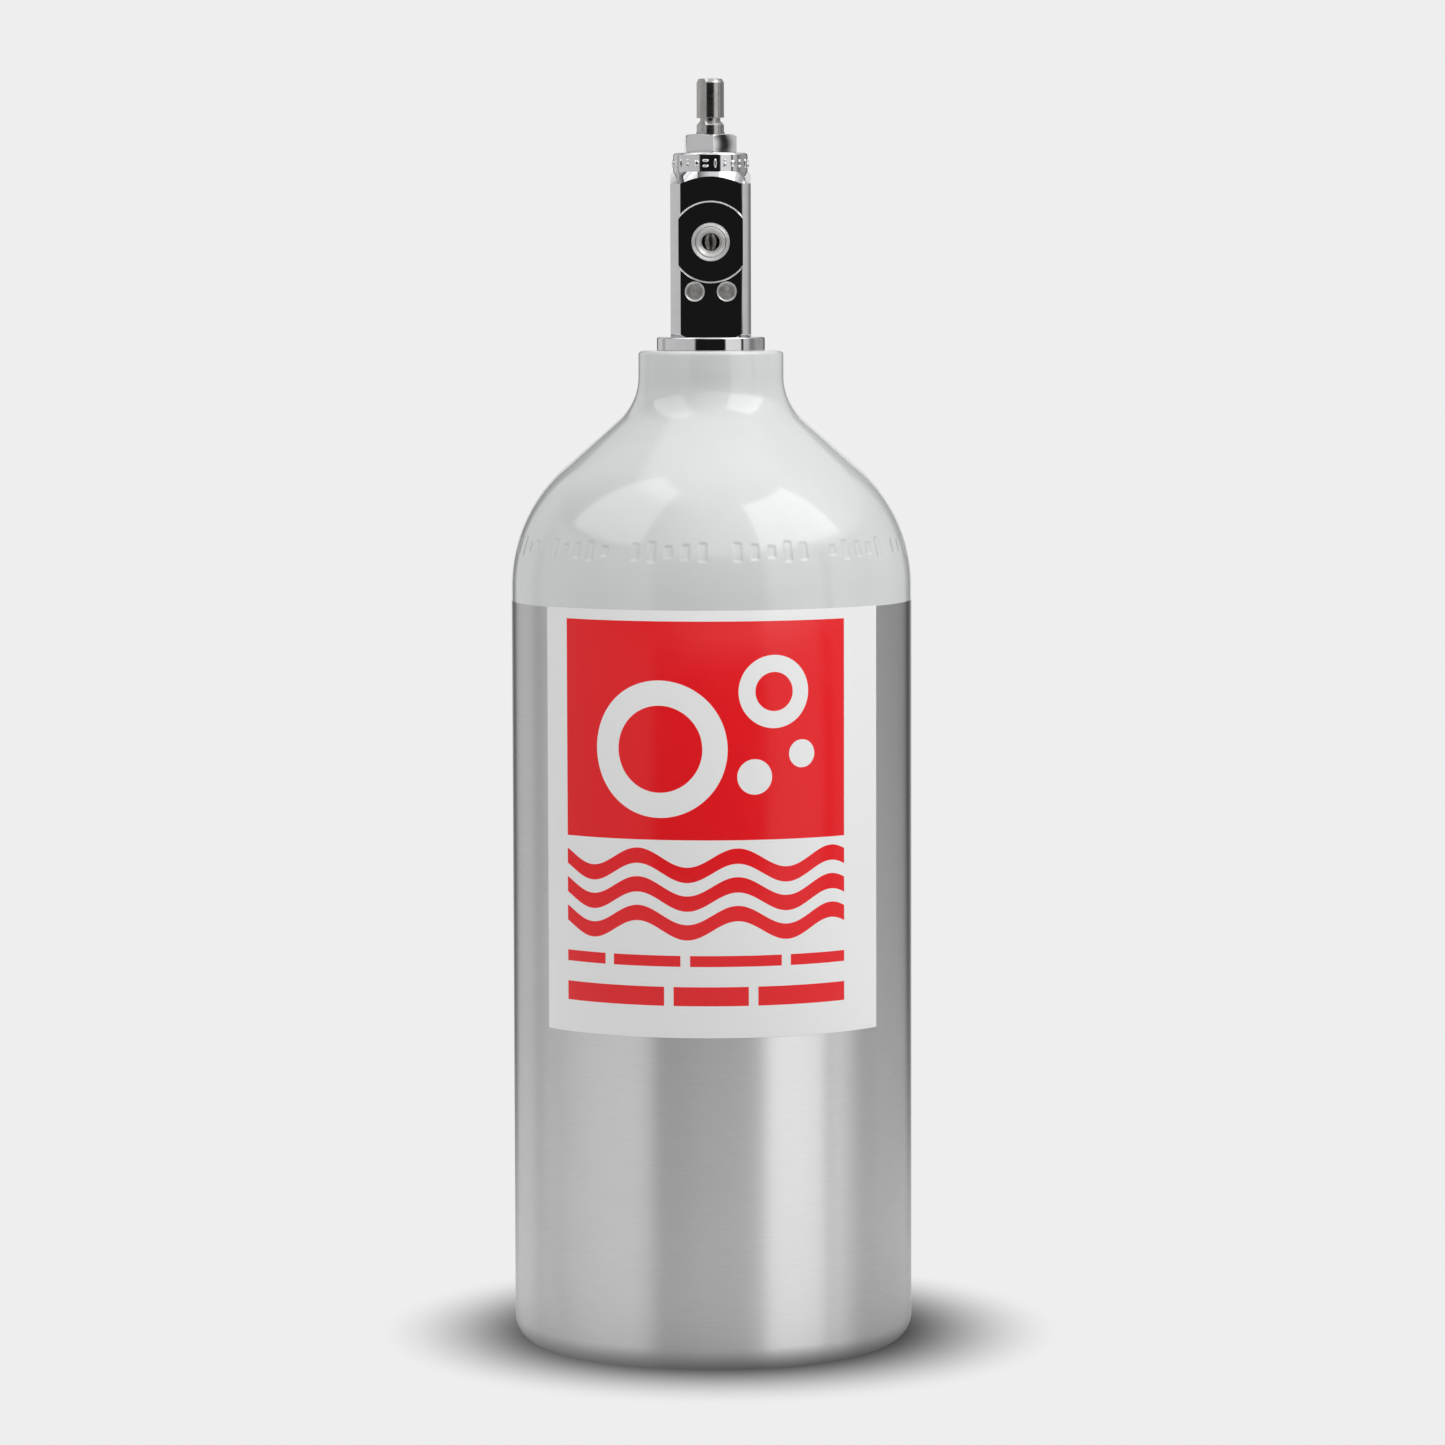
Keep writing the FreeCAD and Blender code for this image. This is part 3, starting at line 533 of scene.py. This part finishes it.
label = to_object(wrap_label(), "label_sheet", 40.0)
label.data.materials.append(label_vinyl)
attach(label, "cylinder")
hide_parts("label")

# %% [markdown]
# ## Chrome, steel and brass
# The valve is brass with a polished chrome plate, the stem is turned steel with a satin finish,
# and the pieces inside are bare brass.

# %% Metal finishes
def make_chrome():
    material, tree, shader = new_material("polished_chrome")
    place = object_coordinates(tree)
    marks = place_group(tree, handling_marks, Vector=place, Patch_size=6.0)
    lines = place_group(tree, lathe_lines, Vector=place, Lines_per_metre=9000.0, Length=400.0)
    tree.links.new(mix_colour(tree, marks.outputs[0], (0.80, 0.80, 0.815), (0.765, 0.765, 0.78)),
                   shader.inputs["Base Color"])
    tree.links.new(ramp(tree, marks.outputs[0], 0.0, 1.0, 0.035, 0.075), shader.inputs["Roughness"])
    shader.inputs["Metallic"].default_value = 1.0
    wobble = math_node(tree, "ADD", noise(tree, place, 180.0, 1.0, 0.5),
                       math_node(tree, "MULTIPLY", lines.outputs[0], 0.04))
    bump(tree, shader, wobble, 0.00003, 0.15)
    return material


def make_turned_metal(name, light, dark, low_rough, high_rough, lines_per_metre, strength):
    material, tree, shader = new_material(name)
    place = object_coordinates(tree)
    lines = place_group(tree, lathe_lines, Vector=place, Lines_per_metre=lines_per_metre, Length=60.0)
    marks = place_group(tree, handling_marks, Vector=place, Patch_size=5.0)
    shade = math_node(tree, "MULTIPLY_ADD", marks.outputs[0], 0.4, ramp(tree, lines.outputs[0], 0.3, 0.7, 0.0, 0.6))
    tree.links.new(mix_colour(tree, shade, light, dark), shader.inputs["Base Color"])
    tree.links.new(ramp(tree, shade, 0.0, 1.0, low_rough, high_rough), shader.inputs["Roughness"])
    shader.inputs["Metallic"].default_value = 1.0
    bump(tree, shader, lines.outputs[0], 0.00003, strength)
    return material


def make_machined_face(port_z, index_x, index_z):
    """Bare metal with rings turned about the port's axis, and below it about each pin hole's axis."""
    material, tree, shader = new_material("machined_metal")
    split = tree.nodes.new("ShaderNodeSeparateXYZ")
    tree.links.new(object_coordinates(tree), split.inputs[0])
    lower = math_node(tree, "LESS_THAN", split.outputs["Z"], (port_z + index_z) / 2 - 0.001)
    side = math_node(tree, "MULTIPLY", math_node(tree, "SIGN", split.outputs["X"]), index_x)
    middle_x = math_node(tree, "MULTIPLY", side, lower)
    middle_z = math_node(tree, "MULTIPLY_ADD", lower, index_z - port_z, port_z)
    off_x = math_node(tree, "SUBTRACT", split.outputs["X"], middle_x)
    off_z = math_node(tree, "SUBTRACT", split.outputs["Z"], middle_z)
    reach = math_node(tree, "SQRT", math_node(tree, "ADD", math_node(tree, "MULTIPLY", off_x, off_x),
                                              math_node(tree, "MULTIPLY", off_z, off_z)))
    rings = add(tree, "ShaderNodeTexNoise", noise_dimensions="1D", Scale=1.0, Detail=2.0)
    tree.links.new(math_node(tree, "MULTIPLY", reach, 9000.0), rings.inputs["W"])
    height = rings.outputs["Fac"]
    tree.links.new(mix_colour(tree, height, (0.82, 0.81, 0.80), (0.92, 0.91, 0.90)), shader.inputs["Base Color"])
    tree.links.new(ramp(tree, height, 0.3, 0.7, 0.42, 0.34), shader.inputs["Roughness"])
    shader.inputs["Metallic"].default_value = 1.0
    bump(tree, shader, height, 0.00012, 1.0)
    return material


chrome = make_chrome()
stem_steel = make_turned_metal("satin_steel", (0.53, 0.52, 0.505), (0.44, 0.43, 0.42), 0.17, 0.24, 3000.0, 0.12)
bare_brass = make_turned_metal("bare_brass", (0.80, 0.61, 0.30), (0.62, 0.44, 0.19), 0.22, 0.38, 3500.0, 0.5)
bronze = make_turned_metal("sintered_bronze", (0.50, 0.34, 0.19), (0.27, 0.17, 0.09), 0.5, 0.7, 900.0, 0.8)
disc_metal = make_turned_metal("rolled_foil", (0.74, 0.69, 0.62), (0.58, 0.53, 0.47), 0.2, 0.3, 2000.0, 0.3)

# %% [markdown]
# ## Seals
# The O-rings are black nitrile rubber and the washers and the seat pad are a pale polymer. They
# lie inside the valve, where they show only when it is taken apart.

# %% Seal finishes
def make_moulded(name, colour, dark, low_rough, high_rough, grain):
    material, tree, shader = new_material(name)
    place = object_coordinates(tree)
    speckle = noise(tree, place, grain, 3.0, 0.6)
    marks = place_group(tree, handling_marks, Vector=place, Patch_size=3.0)
    tree.links.new(mix_colour(tree, marks.outputs[0], colour, dark), shader.inputs["Base Color"])
    tree.links.new(ramp(tree, speckle, 0.3, 0.7, low_rough, high_rough), shader.inputs["Roughness"])
    bump(tree, shader, speckle, 0.00002, 0.5)
    return material


seal_rubber = make_moulded("nitrile_rubber", (0.020, 0.020, 0.021), (0.034, 0.034, 0.035), 0.42, 0.6, 4000.0)
seal_polymer = make_moulded("seal_polymer", (0.86, 0.86, 0.84), (0.78, 0.78, 0.75), 0.38, 0.5, 3000.0)
seat_polymer = make_moulded("seat_polymer", (0.82, 0.80, 0.70), (0.72, 0.69, 0.58), 0.35, 0.5, 3000.0)

# %% [markdown]
# ## The post
# The post is a round bar with four flats milled on it, so it is spun and then cut by four blocks.
# The outlet, its sealing ring, the two pin-index holes, the dimple for the yoke's screw and the
# relief bore are spun cutters turned to point at the front or the back.

# %% Post outline and cutters
flange_top = neck_top + 3.7
post_radius = 14.7
post_height = neck_top + 45.9
collar_foot = neck_top + 49.2
collar_radius = 10.35
side_flat = 11.1
face_flat = 12.1
port_height = neck_top + 29.9
index_height = port_height - 14.29 * math.cos(math.radians(18))
index_reach = 14.29 * math.sin(math.radians(18))

post_outline = [(0.0, stub_foot), (8.45, stub_foot), (9.45, stub_foot + 1.0), (9.45, neck_top)]
post_outline += [(flange_radius - 0.15, neck_top), (flange_radius, neck_top + 0.15)]
post_outline += arc((flange_radius - 0.5, flange_top - 0.5), 0.5, 0, 90, 5)
post_outline += [(post_radius - 0.8, flange_top), (post_radius, flange_top + 0.8)]
post_outline += [(post_radius, post_height), (collar_radius, collar_foot)]
post_outline += arc((collar_radius - 0.8, collar_top - 0.8), 0.8, 0, 90, 6)
post_outline += [(0.0, collar_top)]


def facing_front(outline, height, across=0.0, steps=64):
    """A cutter spun about a line along Y. Its outline is (radius, distance towards the front)."""
    bm = lathe(outline, steps)
    turn = Matrix.Rotation(math.radians(90), 4, "X")
    place = Matrix.Translation((across * MM, 0.0, height * MM))
    return move(bm, place @ turn)


def ring_cutter(inner, outer, low, high, flare, height):
    """A ring-shaped cutter whose outer wall may flare by 45 degrees."""
    outline = [(inner, low), (outer, low), (outer + flare, low + flare), (outer + flare, high), (inner, high)]
    bm = lathe(outline, 96, closed=True)
    place = Matrix.Translation((0.0, 0.0, height * MM))
    return move(bm, place @ Matrix.Rotation(math.radians(90), 4, "X"))


clear = face_flat + 1.0
flat_blocks = [
    block((-20, -20, flange_top), (20, -face_flat, collar_foot + 1)),
    block((-20, face_flat, flange_top), (20, 20, collar_foot + 1)),
    block((-20, -20, flange_top), (-side_flat, 20, collar_foot + 1)),
    block((side_flat, -20, flange_top), (20, 20, collar_foot + 1)),
]
bore_cutter = lathe([(0, stub_foot - 1), (2.95, stub_foot - 1), (2.95, neck_top - 13), (2.0, neck_top - 13),
                     (2.0, neck_top + 25.5), (2.8, neck_top + 25.5), (2.8, neck_top + 24.0),
                     (4.9, neck_top + 24.0), (4.9, neck_top + 42.0), (6.45, neck_top + 42.0),
                     (6.45, collar_top + 1), (0, collar_top + 1)], 72)
port_bore = facing_front([(0, 0), (2.5, 0), (2.5, face_flat - 1.34), (3.84, face_flat), (3.84, clear), (0, clear)],
                         port_height, steps=96)
seal_groove = ring_cutter(4.1, 4.35, face_flat - 1.1, clear, 0.0, port_height)
spot_face = ring_cutter(5.26, 10.9, face_flat - 0.4, clear, 0.4, port_height)
index_outline = [(0, face_flat - 5.6 - 1.44), (2.4, face_flat - 5.6), (2.4, face_flat - 0.35),
                 (2.75, face_flat), (2.75, clear), (0, clear)]
index_holes = [facing_front(index_outline, index_height, side * index_reach) for side in (-1, 1)]
dimple = facing_front([(0, -face_flat + 2.5), (4.0, -face_flat), (4.0, -clear), (0, -clear)], port_height)
relief_bore = facing_front([(0, 0), (1.2, 0), (1.2, -4.5), (4.1, -4.5), (4.1, -clear), (0, -clear)], neck_top + 12)

# %% Post
post = to_object(lathe(post_outline, 128), "post")
carve(post, flat_blocks)
carve(post, [bore_cutter, port_bore, seal_groove, spot_face, *index_holes, dimple, relief_bore])
edge = post.modifiers.new("soft_edges", "BEVEL")
edge.limit_method = "ANGLE"
edge.angle_limit = math.radians(28)
edge.width = 0.10 * MM
edge.segments = 2
edge.use_clamp_overlap = True
edge.harden_normals = False
apply_modifiers(post, 40.0)
port_land = 5.35
machined = make_machined_face(port_height * MM, index_reach * MM, index_height * MM)
post.data.materials.clear()
post.data.materials.append(chrome)
post.data.materials.append(machined)
bare = 0
for polygon in post.data.polygons:
    centre = polygon.center / MM
    from_port = math.hypot(centre.x, centre.z - port_height)
    from_index = math.hypot(abs(centre.x) - index_reach, centre.z - index_height)
    in_front = -face_flat - 0.1 < centre.y < -3.0
    polygon.material_index = 1 if in_front and (from_port < port_land or from_index < 2.65) else 0
    bare += polygon.material_index
print("machined faces on the post", bare)
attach(post, "cylinder")
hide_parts("valve_body")
print("post faces", len(post.data.polygons))

# %% [markdown]
# ## Collar marks
# The collar carries a raised maker's band on the real valve. Here it is a plain row of small
# raised pads, which catch the light the same way and say nothing.

# %% Collar marks
mark_count = 24
# Each kind of mark is a few beads: how far above the band's middle, how wide and how tall, in mm.
mark_kinds = [[(0.0, 0.9, 2.6)], [(0.75, 1.9, 0.8), (-0.75, 1.9, 0.8)], [(0.0, 1.9, 1.9)], [(0.8, 0.8, 0.8), (-0.5, 0.9, 1.6)]]
band_middle = collar_foot + 2.3
pads = bmesh.new()
for number in range(mark_count):
    turn = Matrix.Rotation(2 * math.pi * (number + 0.5) / mark_count, 3, "Z")
    for lift, wide, tall in mark_kinds[number * 3 % 4]:
        made = bmesh.ops.create_uvsphere(pads, u_segments=10, v_segments=8, radius=0.5)["verts"]
        bmesh.ops.scale(pads, vec=(wide * MM, 0.8 * MM, tall * MM), verts=made)
        bmesh.ops.translate(pads, vec=(0.0, -collar_radius * MM, (band_middle + lift) * MM), verts=made)
        bmesh.ops.rotate(pads, cent=(0, 0, 0), matrix=turn, verts=made)
collar_marks = to_object(pads, "collar_marks", 60.0)
collar_marks.data.materials.append(chrome)
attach(collar_marks, "cylinder")
print("collar marks", mark_count)

# %% [markdown]
# ## Gland nut and stem
# The nut is a turned blank with six flats cut by blocks, which leaves the curved bevel of a real
# nut at its corners. The stem has two flats for the wrench and a groove below them.

# %% Gland nut
nut_half = 13.8 / 2
nut_corner = nut_half / math.cos(math.radians(30))
nut_bore = 4.02
nut_outline = [(nut_bore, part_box("gland_nut")[0].z / MM), (6.37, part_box("gland_nut")[0].z / MM)]
nut_outline += [(6.37, collar_top), (nut_corner - 0.5, collar_top), (nut_corner, collar_top + 0.3)]
nut_outline += [(nut_corner, nut_top - 0.8), (nut_corner - 1.386, nut_top)]
nut_outline += [(nut_bore + 0.35, nut_top), (nut_bore, nut_top - 0.35)]
nut = to_object(lathe(nut_outline, 96, closed=True), "gland_nut_hexagon")
hexagon_blocks = []
for side in range(6):
    cutter = block((-20, -20, collar_top - 0.001), (20, -nut_half, nut_top + 1))
    hexagon_blocks.append(move(cutter, Matrix.Rotation(math.radians(35.2 + 60 * side), 4, "Z")))
carve(nut, hexagon_blocks)
edge = nut.modifiers.new("soft_edges", "BEVEL")
edge.limit_method = "ANGLE"
edge.angle_limit = math.radians(28)
edge.width = 0.09 * MM
edge.segments = 2
apply_modifiers(nut, 40.0)
nut.data.materials.clear()
nut.data.materials.append(chrome)
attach(nut, "cylinder")
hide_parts("gland_nut")

# %% Valve stem
stem_radius = 3.97
stem_flat = 2.8
collar_low = neck_top + 42.55
collar_high = collar_low + 1.8
seal_low = collar_high + 3.6
groove_low = neck_top + 62.1
groove_high = neck_top + 64.1
stem_outline = [(0, collar_low), (5.8, collar_low), (5.8, collar_high), (stem_radius, collar_high)]
stem_outline += [(stem_radius, seal_low), (2.77, seal_low), (2.77, seal_low + 2.5), (stem_radius, seal_low + 2.5)]
stem_outline += [(stem_radius, groove_low), (stem_flat, groove_low + stem_radius - stem_flat)]
stem_outline += [(stem_flat, groove_high - 0.1), (stem_flat + 0.1, groove_high), (stem_radius - 0.1, groove_high)]
stem_outline += [(stem_radius, groove_high + 0.1), (stem_radius, stem_top - 1.1)]
stem_outline += [(stem_radius - 0.75, stem_top - 0.06), (stem_radius - 0.9, stem_top), (0, stem_top)]
stem = to_object(lathe(stem_outline, 96), "stem")
stem_turn = Matrix.Rotation(math.radians(-62), 4, "Z")
stem_blocks = [
    move(block((-8, -8, nut_top + 0.6), (8, -stem_flat, stem_top + 1)), stem_turn),
    move(block((-8, stem_flat, nut_top + 0.6), (8, 8, stem_top + 1)), stem_turn),
]
carve(stem, stem_blocks)
tang = stem.modifiers.new("tang", "BOOLEAN")
tang.operation = "UNION"
tang_piece = to_object(move(block((-3.5, -1, stem_foot), (3.5, 1, collar_low + 0.4)), stem_turn), "tang")
tang.object = tang_piece
edge = stem.modifiers.new("soft_edges", "BEVEL")
edge.limit_method = "ANGLE"
edge.angle_limit = math.radians(28)
edge.width = 0.08 * MM
edge.segments = 2
apply_modifiers(stem, 40.0)
bpy.data.objects.remove(tang_piece)
stem.data.materials.clear()
stem.data.materials.append(stem_steel)
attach(stem, "stem")
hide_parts("valve_stem")
print("nut faces", len(nut.data.polygons), "stem faces", len(stem.data.polygons))

# %% [markdown]
# ## Pieces that keep their CAD shape
# The pieces inside the valve are plain rings and plugs, and the CAD shape is the real one. They
# only need their finishes.

# %% Finishes for the CAD nodes
cad_finishes = {
    "neck_oring": seal_rubber, "gland_oring": seal_rubber, "stem_oring": seal_rubber,
    "stem_backup_ring": seal_polymer, "stem_washer": seal_polymer, "thrust_washer": seal_polymer,
    "relief_gasket": seal_polymer, "seat_pad": seat_polymer, "seat_plug": stem_steel,
    "relief_plug": bare_brass, "relief_disc": disc_metal, "inlet_filter": bronze, "debris_tube": bare_brass,
}
for node, finish in cad_finishes.items():
    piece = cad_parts[node]
    piece.data.materials.clear()
    piece.data.materials.append(finish)
print("finished CAD nodes:", len(cad_finishes))

# %% [markdown]
# ## Floor and light
# The studio floor is a pale disc that glows evenly, with a contact shadow painted into its glow as a soft dark ellipse
# round the bottle's foot. What chrome shows is what stands round it, so the room is dim in front and the light comes
# from tall soft boxes at each side and from above.

# %% Floor
def make_floor():
    bm = bmesh.new()
    bmesh.ops.create_circle(bm, cap_ends=True, cap_tris=False, segments=96, radius=0.75)
    floor = to_object(bm, "studio_floor")
    floor.location.z = -0.0002
    material, tree, shader = new_material("pale_floor_painted_shadow")
    place = object_coordinates(tree)
    reach = tree.nodes.new("ShaderNodeVectorMath")
    reach.operation = "LENGTH"
    tree.links.new(place, reach.inputs[0])
    tree.links.new(ramp(tree, reach.outputs["Value"], 0.20, 0.70, 1.0, 0.0), shader.inputs["Alpha"])
    # Painted shadow: the floor's glow darkens to near black in a soft ellipse round the bottle's foot, standing in for
    # a contact shadow that no light casts.
    shadow_mapping = add(tree, "ShaderNodeMapping")
    shadow_mapping.inputs["Location"].default_value = (-0.002 / shadow_half[0], -0.012 / shadow_half[1], 0.0)
    shadow_mapping.inputs["Scale"].default_value = (1 / shadow_half[0], 1 / shadow_half[1], 1.0)
    tree.links.new(place, shadow_mapping.inputs["Vector"])
    spread = tree.nodes.new("ShaderNodeVectorMath")
    spread.operation = "LENGTH"
    tree.links.new(shadow_mapping.outputs[0], spread.inputs[0])
    shade = ramp(tree, spread.outputs["Value"], 0.6, 1.4)
    tree.links.new(mix_colour(tree, shade, (0.006, 0.006, 0.006), (studio_white,) * 3), shader.inputs["Emission Color"])
    shader.inputs["Emission Strength"].default_value = 1.0
    shader.inputs["Base Color"].default_value = (0.0, 0.0, 0.0, 1.0)
    shader.inputs["Roughness"].default_value = 1.0
    shader.inputs["Specular IOR Level"].default_value = 0.0
    floor.data.materials.append(material)
    return floor


studio_white = 0.856
# Half sizes of the painted shadow ellipse across and front to back, in metres.
shadow_half = (0.0705, 0.0786)
floor = make_floor()

# %% Surroundings
world = bpy.data.worlds.new("studio")
bpy.context.scene.world = world
world.use_nodes = True
sky = world.node_tree
background = sky.nodes["Background"]
direction = sky.nodes.new("ShaderNodeTexCoord").outputs["Generated"]
split = sky.nodes.new("ShaderNodeSeparateXYZ")
sky.links.new(direction, split.inputs[0])
bearing = math_node(sky, "ARCTAN2", split.outputs["X"], math_node(sky, "MULTIPLY", split.outputs["Y"], -1.0))
walls = sky.nodes.new("ShaderNodeValToRGB")
sky.links.new(math_node(sky, "MULTIPLY_ADD", bearing, 0.5 / math.pi, 0.5), walls.inputs["Fac"])
def room_band(levels):
    """A colour ramp round the room. Levels are (bearing in degrees from the front, brightness)."""
    node = sky.nodes.new("ShaderNodeValToRGB")
    sky.links.new(math_node(sky, "MULTIPLY_ADD", bearing, 0.5 / math.pi, 0.5), node.inputs["Fac"])
    stops = node.color_ramp.elements
    while len(stops) < len(levels):
        stops.new(0.5)
    for stop, (bearing_deg, level) in zip(stops, levels):
        stop.position = bearing_deg / 360 + 0.5
        stop.color = (level, level, level, 1.0)
    return node.outputs["Color"]


walls = room_band([(-180, 0.80), (-169, 0.80), (-165, 0.06), (-157, 0.06), (-152, 0.60), (-128, 0.62), (-123, 0.40),
                   (-117, 0.40), (-112, 0.62), (-70, 0.58), (-36, 0.56), (-32, 0.010), (30, 0.010), (33, 0.85),
                   (66, 0.82), (69, 0.03), (72, 0.03), (75, 0.62), (88, 0.50), (92, 0.24), (104, 0.24),
                   (110, 0.36), (148, 0.36), (153, 0.06), (163, 0.06), (168, 0.80), (180, 0.80)])
uppers = room_band([(-180, 0.50), (-140, 0.50), (-112, 0.10), (-48, 0.10), (-28, 0.50), (-5, 0.95), (27, 1.10),
                    (31, 1.3), (76, 1.3), (90, 1.25), (110, 0.90), (124, 0.60), (140, 0.50), (180, 0.50)])
sky_rise = math_node(sky, "ARCSINE", split.outputs["Z"])


grid_pitch_deg = 4.5


def rib(place):
    """1 on the thin ribs of a lamp's fabric grid, and 0 between them."""
    off = math_node(sky, "ABSOLUTE", math_node(sky, "SUBTRACT", math_node(sky, "FRACT", place), 0.5))
    return ramp(sky, off, 0.32, 0.42)


def box_light(rise_deg, rise_half, bearing_mid, bearing_half, soft=1.2):
    """1 inside a rectangle of the sky, and 0 outside it."""
    up = math_node(sky, "ABSOLUTE", math_node(sky, "SUBTRACT", sky_rise, math.radians(rise_deg)))
    side = math_node(sky, "ABSOLUTE", math_node(sky, "SUBTRACT", bearing, math.radians(bearing_mid)))
    inside = ramp(sky, up, math.radians(rise_half - soft), math.radians(rise_half + soft), 1.0, 0.0)
    inside = math_node(sky, "MULTIPLY", inside, ramp(sky, side, math.radians(bearing_half - soft),
                                                     math.radians(bearing_half + soft), 1.0, 0.0))
    cells = 180 / math.pi / grid_pitch_deg
    ribs = math_node(sky, "MAXIMUM", rib(math_node(sky, "MULTIPLY", sky_rise, cells)),
                     rib(math_node(sky, "MULTIPLY", bearing, cells)))
    return math_node(sky, "MULTIPLY", inside, math_node(sky, "MULTIPLY_ADD", ribs, -0.45, 1.0))


room = mix_colour(sky, ramp(sky, split.outputs["Z"], -0.42, -0.34), (0.80, 0.80, 0.80), walls)
above = mix_colour(sky, ramp(sky, split.outputs["Z"], 0.40, 0.46, 0.0, 1.0), room, uppers)
strength = mix_colour(sky, ramp(sky, split.outputs["Z"], 0.85, 0.92), above, (1.0, 1.0, 1.0))
key = box_light(46.0, 17.0, 62.0, 30.0)
fill = box_light(51.0, 22.0, -76.0, 30.0)
lamps = math_node(sky, "MULTIPLY_ADD", key, 2.3, math_node(sky, "MULTIPLY", fill, 1.75))
lit = sky.nodes.new("ShaderNodeVectorMath")
lit.operation = "ADD"
sky.links.new(strength, lit.inputs[0])
sky.links.new(lamps, lit.inputs[1])
camera_ray = sky.nodes.new("ShaderNodeLightPath").outputs["Is Camera Ray"]
sky.links.new(mix_colour(sky, camera_ray, lit.outputs[0], (studio_white,) * 3), background.inputs["Color"])
print("lamps in the sky: key and fill")
